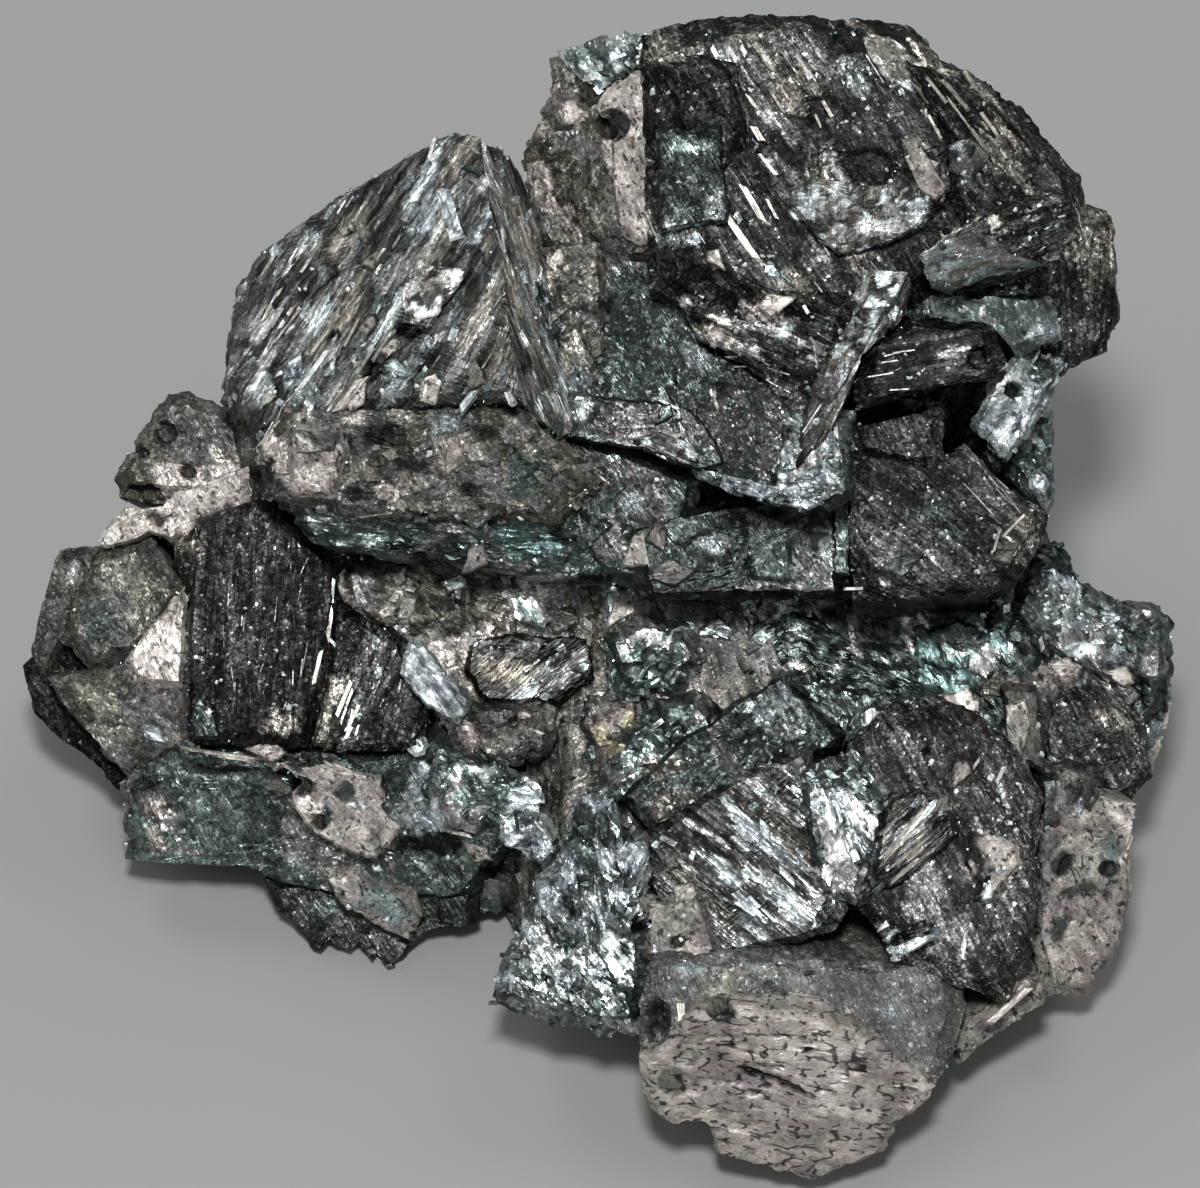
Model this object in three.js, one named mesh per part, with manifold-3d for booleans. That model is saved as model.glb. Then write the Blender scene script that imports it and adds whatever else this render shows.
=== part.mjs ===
// Arsenopyrite specimen: one cluster of intergrown crystals on the matrix that they grew from.
// It grew as one thing, so it is one closed solid. Millimetres, +Z up, resting on a flat broken base.
//
// The crystals of the display side are drawn in a display frame: u to the right, v up the display
// side and w out of it. That side leans back, so the frame is tilted before the cluster is joined.
// Each crystal is an outline carried inwards: a bevelled face, its rim, and a narrower hidden end.

import * as THREE from "three";
import Module from "manifold-3d";
import { mergeVertices } from "three/addons/utils/BufferGeometryUtils.js";

const wasm = await Module();
wasm.setup();

// Driving dimensions, in millimetres and degrees.
const DISPLAY_TILT = 40; // how far the display side leans back from facing straight up
const DISPLAY_HEIGHT = 30; // the middle of the display side above the floor
const TO_CENTRE = [0.4, 0.3]; // brings the middle of the cluster's box over the origin
const FLOOR_BLOCK = 300; // side of the block that cuts the base flat
const BEVEL = 1.5; // usual bevel round a crystal's face
const DEPTH = 16; // usual length of a crystal behind its face
const NARROWING = 0.86; // hidden end of a crystal against its rim

const toRest = new THREE.Matrix4()
  .makeTranslation(0, 0, DISPLAY_HEIGHT)
  .multiply(new THREE.Matrix4().makeRotationX(THREE.MathUtils.degToRad(DISPLAY_TILT)));

// One crystal: its outline, the height of its face, the face's lean and what differs from the usual.
function crystal(outline, front, lean, { bevel = BEVEL, deep = DEPTH, into = [0, 0], narrow = NARROWING } = {}) {
  return { outline, front, lean, bevel, deep, into, narrow };
}

const GREAT_CRYSTAL = [
  // The big dark crystal with its arched rim.
  crystal([[4.5, 56], [10, 57.5], [17, 58], [25, 57.5], [30.5, 57], [34.5, 53.5], [38.5, 51], [42.5, 48],
    [44.5, 45], [47.5, 42], [49, 37], [48.5, 34], [46, 30.5], [34, 29.5], [26, 27], [15, 27], [5, 30.5]],
  15, [-0.05, -0.2], { bevel: 3, deep: 24, into: [-2, -5], narrow: 0.88 }),
  // Dark block, square tile and pale round-ended block on its face, and the blades at its right.
  crystal([[5, 52.5], [8, 53.5], [13.5, 52], [14.5, 46], [13, 40.5], [6, 41], [4.5, 46]], 17, [0, -0.1], { deep: 10 }),
  crystal([[5.5, 45.5], [12, 46], [12.5, 36.5], [6, 35.5]], 19, [0.1, 0.05], { bevel: 0.8, deep: 10 }),
  crystal([[20, 42.5], [23, 45], [28, 41], [34, 44.5], [34.5, 39.5], [32, 36], [28, 34], [24.5, 34], [21, 36]],
    19, [0, 0.1], { deep: 10 }),
  crystal([[30, 52.5], [36, 51.5], [42, 46.5], [46, 41.5], [47.5, 35.5], [45, 32.5], [36, 34], [34, 39.5], [34, 45]],
    16, [-0.3, -0.1], { bevel: 2, deep: 12 }),
];

const LEFT_OF_GREAT_CRYSTAL = [
  crystal([[4.5, 55.5], [4, 50], [5, 34.5], [0, 33], [-6, 39.5], [-8, 44.5], [-5, 49.5], [-5, 53.5], [-1, 55]],
    6, [0.7, -0.1], { deep: 20, into: [3, -3] }),
  crystal([[4.5, 55.5], [4, 52], [0, 50], [-2.5, 52], [-4, 54], [0.5, 55]], 8.5, [0.6, -0.3], { bevel: 0.8, deep: 9 }),
  crystal([[4, 52], [5.5, 45.5], [6, 39.5], [5, 34], [2, 35.5], [1, 44.5], [-0.5, 48], [0.5, 50]],
    11, [0.4, 0], { bevel: 0.8, deep: 12 }),
  crystal([[-5.8, 48], [-4.5, 50], [-2, 50], [-0.8, 48], [-2, 45.8], [-4.5, 45.8]], 5.5, [0.3, 0], { bevel: 1, deep: 7 }),
  crystal([[-7.8, 44.5], [-4, 45.5], [0.5, 43.5], [1, 35.5], [-1, 32.5], [-5.5, 34], [-7, 39.5]],
    5, [0.5, 0], { deep: 14, into: [2, -2] }),
];

const RIGHT_OF_GREAT_CRYSTAL = [
  crystal([[48.5, 39.5], [51, 38.5], [51.5, 36], [52, 30.5], [52, 28], [51, 24.5], [48.5, 23.5], [46, 21.5],
    [44, 26.5], [45, 35.5], [47, 38]],
  6, [-0.4, 0], { deep: 24, into: [-6, -4], narrow: 0.75 }),
  crystal([[31.5, 33], [34.5, 35.5], [40, 39], [46, 39.5], [47, 36], [45, 33], [40, 30.5], [34, 29.5]],
    19, [-0.3, 0.2], { deep: 14 }),
  crystal([[30, 30.5], [40, 30], [45, 29.5], [45.5, 25], [41, 23.5], [38.5, 26], [30.5, 27]], 14, [-0.2, 0]),
];

const MIDDLE_BLOCKS = [
  // Dark area below the great crystal, the pale lath across it and the stack of dark blocks.
  crystal([[5.5, 34.5], [16, 32.5], [24, 29.5], [24.5, 25.5], [21.5, 18.5], [19, 15.5], [16, 21.5], [10, 25], [6.5, 30.5]],
    16, [0, 0.15]),
  crystal([[26, 32], [30.5, 31], [30, 27.5], [26, 23.5], [22.5, 15.5], [19.5, 12.5], [19.5, 16.5], [24, 26]],
    20, [0.1, 0.1], { bevel: 0.8 }),
  crystal([[25.5, 24.5], [30.5, 27], [38.5, 26.5], [40, 22.5], [38, 21], [25, 18]], 20, [0, -0.1], { deep: 20 }),
  crystal([[25, 17], [33.5, 19.5], [34, 13], [30.5, 12.5], [25, 14]], 17.5, [0, 0.1], { deep: 20 }),
  crystal([[25, 14.5], [30.5, 13], [36, 15], [40, 10.5], [44.5, 8], [43.5, 5.5], [41, 1.5], [36, 0.5], [25, -0.5], [24.5, 7.5]],
    16, [-0.15, 0.05], { deep: 28, into: [0, -4] }),
  crystal([[42, 24.5], [45.5, 23], [45, 19.5], [40, 13], [37, 16.5], [39, 21]], 12, [-0.5, 0], { bevel: 0.8, deep: 20 }),
  crystal([[40, 19.5], [45, 20.5], [45.5, 15.5], [45.5, 9.5], [44.5, 8], [41, 11.5], [38.5, 14.5]],
    7.5, [-0.3, 0], { deep: 20, into: [-4, -2] }),
];

const CENTRE_PLATE = [
  // The broad plate, its brown left part, its bright lower left corner, and what shows beneath it.
  crystal([[-4, 35], [5.5, 34.5], [6.5, 31], [10, 25], [16, 21.5], [20, 18.5], [25, 18], [25, 13.5], [24.5, 9.5], [22.5, 8],
    [16, 9], [10, 12], [4, 14.5], [-3, 19.5], [-5.5, 26.5]],
  13, [0.25, -0.15], { deep: 14 }),
  crystal([[-6.5, 34], [0, 34.5], [0.5, 26.5], [0, 18.5], [-4, 15.5], [-5.5, 26.5]], 9.5, [0.3, 0], { deep: 18 }),
  crystal([[-3.5, 20], [2, 19.5], [10, 18.5], [13, 12.5], [10, 12], [4, 14.5], [-4, 15.5]], 13, [0.1, -0.2], { bevel: 1 }),
  crystal([[9, 8.5], [16, 9.5], [25, 10.5], [25, -0.5], [10, -0.5], [4, -0.5], [2, 6.5]], 9, [0, 0], { deep: 20 }),
];

const WEDGE_CRYSTAL = [
  // The striated wedge: its broad left face and its narrow right face meet along a ridge.
  crystal([[-38, 21], [-36.5, 30.5], [-34, 34], [-30, 37], [-26.5, 39.5], [-20, 43], [-14.5, 46], [-12, 45], [-8, 19.5],
    [-16, 19], [-25, 18.5], [-34, 13.5], [-36, 19]],
  9, [0.475, -0.04], { bevel: 1, deep: 20, into: [4, -5], narrow: 0.84 }),
  crystal([[-12, 45], [-10, 44.5], [-8, 42], [-6.5, 39], [-5, 29.5], [-2.5, 16.5], [-4, 15.5], [-8, 19.5]],
    12.5, [-0.75, -0.24], { bevel: 0.6, deep: 20, into: [0, -5], narrow: 0.84 }),
];

const LEDGE = [
  crystal([[-34, 13.5], [-31, 18.5], [-25, 18.5], [-15, 19], [-7, 18], [-3.5, 15], [0, 11.5], [-4, 7.5], [-18, 7.5],
    [-30, 9], [-33.5, 10]],
  10, [0.2, 0.25], { deep: 20, into: [2, -3] }),
  crystal([[-31, 17], [-25.5, 17], [-25, 13.5], [-26, 9.5], [-30.5, 9.5], [-31, 13.5]], 10, [0.1, 0.1], { bevel: 0.8, deep: 12 }),
  crystal([[-31, 9], [-25, 9.5], [-15, 9], [-4, 8], [1.5, 9.5], [2.5, 3.5], [0, 1.5], [-6, 2], [-17, 4], [-27, 4.5],
    [-30, 6.5]],
  6, [0.15, 0.2], { bevel: 1, deep: 18, into: [2, -2] }),
  crystal([[-4, 16.5], [3, 14.5], [10, 11.5], [9, 5.5], [4, 0.5], [0, 1.5], [-4, 9.5]], 8.5, [0.1, 0.1]),
];

const LEFT_GROUP = [
  crystal([[-44, 20.5], [-42, 21], [-37.5, 19], [-35.5, 17.5], [-35, 15], [-34, 11.5], [-36, 9.5], [-44, 9.5], [-49, 10],
    [-49.5, 12], [-47.5, 16]],
  -8, [0.1, -0.1], { bevel: 2, into: [3, -3] }),
  crystal([[-50, 7], [-49, 9], [-45, 9.5], [-35.5, 13], [-35, 9.5], [-40, 7], [-45, 5], [-50.5, 5], [-51, 6]],
    -6.5, [0.1, 0.1], { bevel: 1, into: [3, -1] }),
  crystal([[-50.5, 5], [-46, 6.5], [-44, 2.5], [-41, 0.5], [-43.5, -3.5], [-47.5, -7], [-52, -8], [-55, -4.5], [-54, 0.5]],
    -8, [0.15, 0], { bevel: 2, deep: 15, into: [4, 0] }),
  crystal([[-55, 4.5], [-52.5, 5], [-50.5, 4.5], [-53, -0.5], [-55, -5.5], [-56.5, -8.5], [-58, -6], [-56.5, -0.5]],
    -11, [0.3, 0], { bevel: 0.8, deep: 12, into: [6, 0] }),
  crystal([[-42, 1], [-41.5, -0.5], [-42, -9.5], [-47, -9], [-48, -6.5], [-45, -3]], -6, [0.1, -0.05], { bevel: 0.8 }),
  crystal([[-44.5, 9], [-40, 8], [-34, 9], [-27, 3.5], [-26, -0.5], [-27.5, -9.5], [-29.5, -15.5], [-41.5, -15],
    [-41.5, 0.5], [-44.5, 4.5]],
  -3.5, [0.1, -0.1], { bevel: 1, deep: 20 }),
  crystal([[-56.5, -8.5], [-52, -8], [-47.5, -7], [-42, -9.5], [-41, -15], [-45, -18], [-47, -19.5], [-50.5, -16], [-54, -12]],
    -8, [0.2, 0.2], { bevel: 1, deep: 14, into: [5, 3] }),
  crystal([[-59, -7.5], [-56.5, -5.5], [-54, -6], [-49, -12], [-45, -18], [-46, -21.5], [-48.5, -20.5], [-51, -17.5], [-55.5, -14.5],
    [-58, -12]],
  -13, [0.1, 0.1], { bevel: 1, deep: 10, into: [5, 4] }),
  crystal([[-26.5, -0.5], [-20, -4.5], [-17, -11], [-18, -15.5], [-27, -16], [-29, -15], [-27.5, -9.5]],
    -2, [0.1, -0.1], { bevel: 1 }),
  crystal([[-19, -4.5], [-17.5, -5], [-13, -11], [-14, -13], [-17, -11.5], [-20, -8]], 1, [-0.1, 0.1], { bevel: 0.5, deep: 9 }),
];

const SLAB = [
  crystal([[-48.5, -19.5], [-41.5, -15], [-30, -15], [-22, -16], [-16, -14], [-6, -19.5], [-5, -23.5], [-10, -27], [-13, -31],
    [-19, -31], [-25, -31], [-32.5, -29.5], [-35, -28], [-48, -27]],
  -5, [0.1, 0.15], { deep: 15, into: [2, 5] }),
  crystal([[-31, -17.5], [-24, -16.5], [-21.5, -20], [-21, -25.5], [-24, -26.5], [-29, -23], [-32, -20.5]],
    -2, [0, 0.1], { bevel: 0.8, deep: 10 }),
  crystal([[-10, -22], [-6, -22], [-4, -25.5], [-5.5, -27], [-9.5, -25]], 4, [0, 0.1], { bevel: 0.4, deep: 12, into: [0, 3] }),
  crystal([[-27.5, -28.5], [-23.5, -29], [-18.5, -32], [-19, -35], [-20.5, -35.5], [-25.5, -32]],
    -4.5, [0, 0.4], { bevel: 0.4, deep: 8, into: [0, 4] }),
  crystal([[-34, -28.5], [-27, -28], [-18, -27.5], [-9, -28.5], [-8.5, -32], [-12, -32.5], [-17, -32], [-18.5, -34.5],
    [-22, -35], [-27, -33], [-31.5, -31]],
  -9, [0.1, 0.3], { bevel: 1, deep: 12, into: [0, 5] }),
  crystal([[-16, -15.5], [-10, -16.5], [-5.5, -19.5], [-5.5, -23], [-10, -23.5], [-16, -23.5], [-18, -19.5]],
    0, [0.1, 0.1], { bevel: 2, deep: 12 }),
];

const TEAL_BLOCK = [
  crystal([[-2.5, -20.5], [0, -20], [4, -25.5], [4.5, -30.5], [5, -36.5], [4, -44], [0, -44], [-6, -42.5], [-11, -41],
    [-10, -36.5], [-7.5, -32], [-7, -28.5], [-4, -26.5]],
  12.5, [0.2, -0.1], { bevel: 2, deep: 17, into: [3, 4] }),
];

const MIDDLE_BAND = [
  crystal([[-27, 5.5], [-15, 5.5], [0, 4], [1, -2.5], [0, -10.5], [-4, -16], [-16, -16], [-18, -9.5], [-20, -4.5], [-26, -0.5]],
    -4, [0.1, 0], { deep: 20 }),
  crystal([[0, 5], [25, 5], [41, 4], [44, -4.5], [44, -16.5], [33, -12], [25, -12], [18, -10], [10, -13], [4, -17],
    [-2, -17], [-0.5, -10.5]],
  -2, [0, -0.1], { bevel: 1, deep: 22 }),
  crystal([[-9.5, 0], [-6.5, -0.5], [-5, -2.5], [-6, -3], [-8.5, -2.5]], -1, [0, 0], { bevel: 0.4, deep: 6 }),
  crystal([[0, -4.5], [4, -2.5], [9, -3], [10.5, -6.5], [8, -10], [2, -10.5]], 1, [0, 0], { bevel: 1.5, deep: 8 }),
  crystal([[-13, -4.5], [-7, -4], [-1, -4.5], [0, -8.5], [-4, -11], [-12, -10.5], [-13.5, -7.5]], -1, [0, -0.1], { bevel: 1, deep: 8 }),
  crystal([[-1.5, -10.5], [4, -10], [4.5, -14.5], [0, -16], [-2, -13.5]], -0.5, [0, 0], { bevel: 1, deep: 8 }),
  crystal([[-17, -10.5], [-10, -11], [-4.5, -11.5], [-4.5, -15.5], [-8, -17], [-14, -16.5]], -1, [0, 0], { bevel: 1.5, deep: 8 }),
  crystal([[4.5, -11.5], [10, -9.5], [13, -12.5], [10, -19.5], [4, -23.5], [0, -20], [0, -16.5]], 4, [0.2, -0.1], { deep: 14 }),
];

const LOWER_CRYSTAL = [
  // The pyramid, the striated face, the bright kernel and the dark block of the lower right crystal.
  crystal([[18.5, -8], [24.5, -14], [20, -17], [12, -20.5], [5, -23.5], [2, -20.5], [8, -14.5], [14, -10.5]],
    7, [0.1, -0.35], { bevel: 0.8, deep: 16 }),
  crystal([[18.5, -8], [26, -9.5], [29, -11], [25, -15.5], [24, -14]], 6.5, [0, -0.3], { bevel: 0.8, deep: 14 }),
  crystal([[4, -24], [14, -17.5], [20.5, -15], [22.5, -20.5], [25, -29.5], [23, -33], [20, -34], [14, -35.5], [9, -36.5],
    [5, -30.5], [3.5, -25.5]],
  12, [0.25, -0.15], { bevel: 1, deep: 20 }),
  crystal([[20, -17.5], [25, -15.5], [28.5, -19.5], [27, -25.5], [25, -30.5], [22, -29.5], [20.5, -23.5]],
    15.5, [0, -0.05], { bevel: 1, deep: 20 }),
  crystal([[25, -15.5], [28.5, -11.5], [33.5, -10.5], [38.5, -12.5], [42.5, -17], [44, -20.5], [43.5, -28.5], [43, -35.5],
    [40.5, -40.5], [36, -39], [30, -36.5], [25, -30.5]],
  13, [-0.2, -0.15], { bevel: 2, deep: 24, into: [-2, 3] }),
  crystal([[26, -30.5], [28.5, -19.5], [34, -19.5], [35.5, -23.5], [30, -28.5]], 15.5, [-0.1, 0], { bevel: 0.8, deep: 10 }),
  crystal([[36.5, -23.5], [41, -24.5], [41.5, -26.5], [38.5, -30.5], [36, -26.5]], 13.5, [-0.3, 0], { bevel: 0.5, deep: 8 }),
  crystal([[28, -34], [32, -32], [33, -33.5], [29, -36]], 17, [0, 0], { bevel: 0.3, deep: 8 }),
  crystal([[4, -30], [10, -29.5], [12, -35.5], [9, -37], [4, -36]], 13.5, [0, 0], { bevel: 1, deep: 14 }),
];

const BOTTOM_CRYSTAL = [
  // The grey band and the pale cleaved face below it.
  crystal([[5.5, -36], [9, -36], [25, -35], [35.5, -36.5], [36, -41.5], [34.5, -47], [33, -49], [28, -46], [22, -43], [14, -42],
    [9, -42.5], [4, -45.5], [4, -40.5]],
  15, [-0.1, -0.1], { deep: 18, into: [0, 6] }),
  crystal([[4, -46], [9, -41.5], [14, -41], [22, -41.5], [28, -45], [33, -49], [31.5, -51], [28.5, -53.5], [28, -55.5],
    [25, -56.5], [21, -58.5], [17, -57], [13.5, -56], [11.5, -55.5], [11, -53], [9.5, -52], [6.5, -52], [5, -51],
    [4, -49]],
  16.5, [-0.05, 0.3], { bevel: 0.8, deep: 12, into: [0, 7], narrow: 0.8 }),
];

const RIGHT_LOBE = [
  crystal([[40, -1], [43, 4], [44.5, 5], [46.5, 5], [49, 1], [53, -1], [56.5, -1.5], [58, -3], [58, -6.5], [58, -10.5], [56, -15],
    [50, -14.5], [45, -9.5], [41, -4.5]],
  -3, [-0.1, 0], { bevel: 2, deep: 15, into: [-3, 0] }),
  crystal([[54.5, -10.5], [58, -10.5], [57, -14.5], [55.5, -19], [53.5, -18], [53.5, -14]], -6, [-0.2, 0], { bevel: 0.8, deep: 11, into: [-4, 2] }),
  crystal([[44, -9.5], [50, -9.5], [55, -12.5], [55.5, -18.5], [53, -21], [46, -19.5], [43.5, -16.5]],
    -1, [0, 0], { bevel: 1.5, deep: 14, into: [-3, 2] }),
  crystal([[43.5, -24], [46, -21], [50, -21], [54, -21.5], [53, -26.5], [53.5, -30.5], [52.5, -34.5], [51, -37.5], [49, -40.5],
    [44.5, -40.5], [43, -35.5], [43, -28.5]],
  5, [-0.15, 0.1], { deep: 14, into: [-4, 5] }),
  crystal([[44.5, -17.5], [49, -17.5], [50, -22.5], [44, -25]], 5, [-0.2, 0], { bevel: 1, deep: 12, into: [-3, 2] }),
  crystal([[34, -44], [40, -39], [43.5, -38], [44.5, -40.5], [41, -42.5], [37, -45.5], [35.5, -47]],
    9, [-0.2, 0.1], { bevel: 0.6, deep: 12, into: [-2, 6] }),
  crystal([[40, -9], [43.5, -9], [44.5, -18], [41, -16.5]], 5, [0, 0], { bevel: 0.8, deep: 14 }),
];

const DISPLAY_SIDE = [
  GREAT_CRYSTAL, LEFT_OF_GREAT_CRYSTAL, RIGHT_OF_GREAT_CRYSTAL, MIDDLE_BLOCKS, CENTRE_PLATE, WEDGE_CRYSTAL, LEDGE,
  LEFT_GROUP, SLAB, TEAL_BLOCK, MIDDLE_BAND, LOWER_CRYSTAL, BOTTOM_CRYSTAL, RIGHT_LOBE,
].flat();

// Lumps of matrix, standing in the floor frame: an outline in x and y carried up through levels of
// [height, scale, shift along y]. The first is the broken base, the others fill the back.
const MATRIX = [
  {
    outline: [[-40, -6], [-30, -10], [-12, -14], [-4, -28], [8, -34], [28, -31], [39, -20], [45, -4], [42, 14], [28, 30],
      [4, 36], [-20, 31], [-36, 16], [-42, 3]],
    levels: [[-3, 0.9, 0], [3, 1, 0], [9, 0.97, 3], [16, 0.86, 10], [26, 0.62, 19], [36, 0.35, 26]],
  },
  {
    outline: [[-6, 24], [14, 20], [34, 22], [42, 30], [36, 44], [14, 50], [-2, 44]],
    levels: [[6, 0.55, -8], [20, 0.8, -3], [36, 1, 0], [52, 0.86, 0], [60, 0.55, 2]],
  },
  {
    outline: [[-36, 14], [-20, 14], [-4, 18], [-1, 34], [-16, 40], [-31, 34], [-38, 22]],
    levels: [[4, 0.7, -4], [18, 0.95, 0], [34, 1, 0], [46, 0.75, 0], [51, 0.4, 2]],
  },
  {
    outline: [[-52, 2], [-42, -5], [-30, 0], [-30, 18], [-42, 22], [-52, 13]],
    levels: [[2, 0.7, 0], [8, 0.95, 0], [15, 1, 0], [22, 0.7, 2]],
  },
  {
    outline: [[36, -10], [45, -12], [52, -5], [52, 3], [44, 12], [34, 12]],
    levels: [[3, 0.7, 0], [9, 0.95, 0], [17, 1, 0], [23, 0.7, 1]],
  },
];

// Stout prisms with bevelled ends that make the back and the sides, in the floor frame:
// middle, direction of length, direction of width, and the half length, width and thickness.
const BACK_CRYSTALS = [
  { at: [20, 40, 46], along: [0.25, 0.45, 0.85], across: [1, -0.3, -0.2], half: [14, 13, 8] },
  { at: [3, 38, 38], along: [-0.2, 0.8, 0.5], across: [1, 0.3, 0], half: [13, 9, 9] },
  { at: [35, 32, 32], along: [0.6, 0.7, 0.4], across: [-0.5, 0.5, 0.6], half: [12, 12, 8] },
  { at: [-19, 28, 33], along: [-0.2, 0.6, 0.75], across: [1, 0.3, 0.1], half: [12, 12, 8] },
  { at: [-30, 17, 22], along: [-0.6, 0.7, 0.2], across: [0.4, 1, -0.2], half: [12, 10, 8] },
  { at: [14, 31, 16], along: [0.2, 1, -0.15], across: [1, -0.2, 0.2], half: [15, 15, 9] },
  { at: [-13, 27, 14], along: [-0.35, 0.9, 0.15], across: [0.9, 0.3, -0.3], half: [14, 12, 9] },
  { at: [33, 15, 14], along: [0.8, 0.6, -0.1], across: [-0.4, 0.6, 0.7], half: [13, 11, 9] },
  { at: [-35, 7, 8], along: [-1, 0.3, 0.1], across: [0, 0.7, 0.7], half: [13, 9, 8] },
  { at: [6, 40, 52], along: [0.1, 0.4, 0.9], across: [1, 0.1, -0.2], half: [11, 9, 6] },
  { at: [26, 38, 20], along: [0.5, 0.8, 0.3], across: [0.8, -0.5, 0.2], half: [11, 8, 10] },
  { at: [-4, 34, 22], along: [0.1, 1, 0.4], across: [1, 0, 0.3], half: [12, 7, 8] },
];

// A closed skin over rings of points, each ring a list of [x, y, z] that runs anticlockwise about
// the way from the last ring to the first. The two end rings are closed by flat caps.
function skin(rings, cap) {
  const positions = rings.flat(2);
  const count = cap.length;
  const faces = [];
  for (const [a, b, c] of THREE.ShapeUtils.triangulateShape(cap.map(([x, y]) => new THREE.Vector2(x, y)), [])) {
    const last = (rings.length - 1) * count;
    faces.push(a, b, c, last + a, last + c, last + b);
  }
  for (let ring = 0; ring + 1 < rings.length; ring += 1) {
    for (let i = 0; i < count; i += 1) {
      const a = ring * count + i;
      const b = ring * count + ((i + 1) % count);
      faces.push(a, a + count, b + count, a, b + count, b);
    }
  }
  const geometry = new THREE.BufferGeometry();
  geometry.setAttribute("position", new THREE.Float32BufferAttribute(positions, 3));
  geometry.setIndex(faces);
  return geometry;
}

// The outline running anticlockwise, and the mean of its points.
function tidyOutline(outline) {
  const points = outline.map(([x, y]) => new THREE.Vector2(x, y));
  const turned = THREE.ShapeUtils.isClockWise(points) ? [...outline].reverse() : outline;
  const middle = [0, 1].map((axis) => outline.reduce((sum, point) => sum + point[axis], 0) / outline.length);
  return { turned, middle };
}

// A crystal of the display side, with its face, its bevelled rim and its hidden end.
function crystalGeometry({ outline, front, lean, bevel, deep, into, narrow }) {
  const { turned, middle } = tidyOutline(outline);
  const spans = turned.map(([u, v]) => Math.hypot(u - middle[0], v - middle[1]));
  const reach = spans.reduce((sum, span) => sum + span, 0) / spans.length;
  const stations = [
    { depth: 0, scale: 1 - bevel / reach, share: 0 },
    { depth: bevel, scale: 1, share: bevel / deep },
    { depth: deep, scale: narrow, share: 1 },
  ];
  const rings = stations.map(({ depth, scale, share }) => turned.map(([u, v]) => {
    const du = (u - middle[0]) * scale;
    const dv = (v - middle[1]) * scale;
    const height = front - depth + lean[0] * du + lean[1] * dv;
    return [middle[0] + du + into[0] * share, middle[1] + dv + into[1] * share, height];
  }));
  return skin(rings, turned).applyMatrix4(toRest);
}

// A lump of matrix, from its top level down.
function matrixGeometry({ outline, levels }) {
  const { turned, middle } = tidyOutline(outline);
  const rings = [...levels].reverse().map(([height, scale, shift]) => turned.map(([x, y]) => [
    middle[0] + (x - middle[0]) * scale,
    middle[1] + (y - middle[1]) * scale + shift,
    height,
  ]));
  return skin(rings, turned);
}

// A stout prism of six-sided section, whose two ends are bevelled.
function backCrystalGeometry({ at, along, across, half }) {
  const length = new THREE.Vector3(...along).normalize();
  const thickness = new THREE.Vector3().crossVectors(length, new THREE.Vector3(...across)).normalize();
  const width = new THREE.Vector3().crossVectors(thickness, length);
  const section = [[1, 0.1], [0.5, 1], [-0.65, 0.9], [-1, -0.15], [-0.5, -1], [0.6, -0.9]];
  const stations = [[1, 0.55], [0.72, 1], [-0.75, 1], [-1, 0.6]];
  const rings = stations.map(([place, scale]) => section.map(([a, b]) => new THREE.Vector3(...at)
    .addScaledVector(length, place * half[0])
    .addScaledVector(width, a * scale * half[1])
    .addScaledVector(thickness, b * scale * half[2])
    .toArray()));
  return skin(rings, section);
}

function toManifold(geometry) {
  const bare = geometry.clone();
  bare.deleteAttribute("normal");
  bare.deleteAttribute("uv");
  const merged = mergeVertices(bare);
  return new wasm.Manifold(new wasm.Mesh({
    numProp: 3,
    vertProperties: new Float32Array(merged.attributes.position.array),
    triVerts: new Uint32Array(merged.index.array),
  }));
}

// The outer skin of a joined mesh: gaps sealed inside it are left out, and so are loose chips.
function outerShell(vertices, triangles) {
  const parent = Array.from({ length: vertices.length / 3 }, (_, index) => index);
  const root = (start) => {
    let index = start;
    while (parent[index] !== index) {
      parent[index] = parent[parent[index]];
      index = parent[index];
    }
    return index;
  };
  for (let t = 0; t < triangles.length; t += 3) {
    parent[root(triangles[t])] = root(triangles[t + 1]);
    parent[root(triangles[t + 1])] = root(triangles[t + 2]);
  }
  const shells = new Map();
  const corner = (index) => new THREE.Vector3().fromArray(vertices, triangles[index] * 3);
  for (let t = 0; t < triangles.length; t += 3) {
    const key = root(triangles[t]);
    const shell = shells.get(key) ?? { volume: 0, triangles: [] };
    shell.volume += corner(t).dot(corner(t + 1).cross(corner(t + 2))) / 6;
    shell.triangles.push(triangles[t], triangles[t + 1], triangles[t + 2]);
    shells.set(key, shell);
  }
  const biggest = [...shells.values()].sort((a, b) => b.volume - a.volume)[0];
  const geometry = new THREE.BufferGeometry();
  geometry.setAttribute("position", new THREE.Float32BufferAttribute(vertices, 3));
  geometry.setIndex(biggest.triangles);
  return geometry;
}

function clusterGeometry() {
  const solids = [
    ...DISPLAY_SIDE.map(crystalGeometry),
    ...MATRIX.map(matrixGeometry),
    ...BACK_CRYSTALS.map(backCrystalGeometry),
  ].map(toManifold);
  const joined = solids.reduce((sum, solid) => sum.add(solid));
  const floor = new THREE.BoxGeometry(FLOOR_BLOCK, FLOOR_BLOCK, FLOOR_BLOCK).translate(0, 0, -FLOOR_BLOCK / 2);
  const mesh = joined.subtract(toManifold(floor)).getMesh();
  return outerShell(mesh.vertProperties, mesh.triVerts).toNonIndexed().translate(...TO_CENTRE, 0);
}

const arsenopyrite = new THREE.MeshStandardMaterial({ color: 0x4a4d4c, roughness: 0.35, metalness: 0.9 });

const cluster = new THREE.Mesh(clusterGeometry(), arsenopyrite);
cluster.name = "arsenopyrite_cluster";

const specimen = new THREE.Group();
specimen.add(cluster);

export default specimen;
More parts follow.
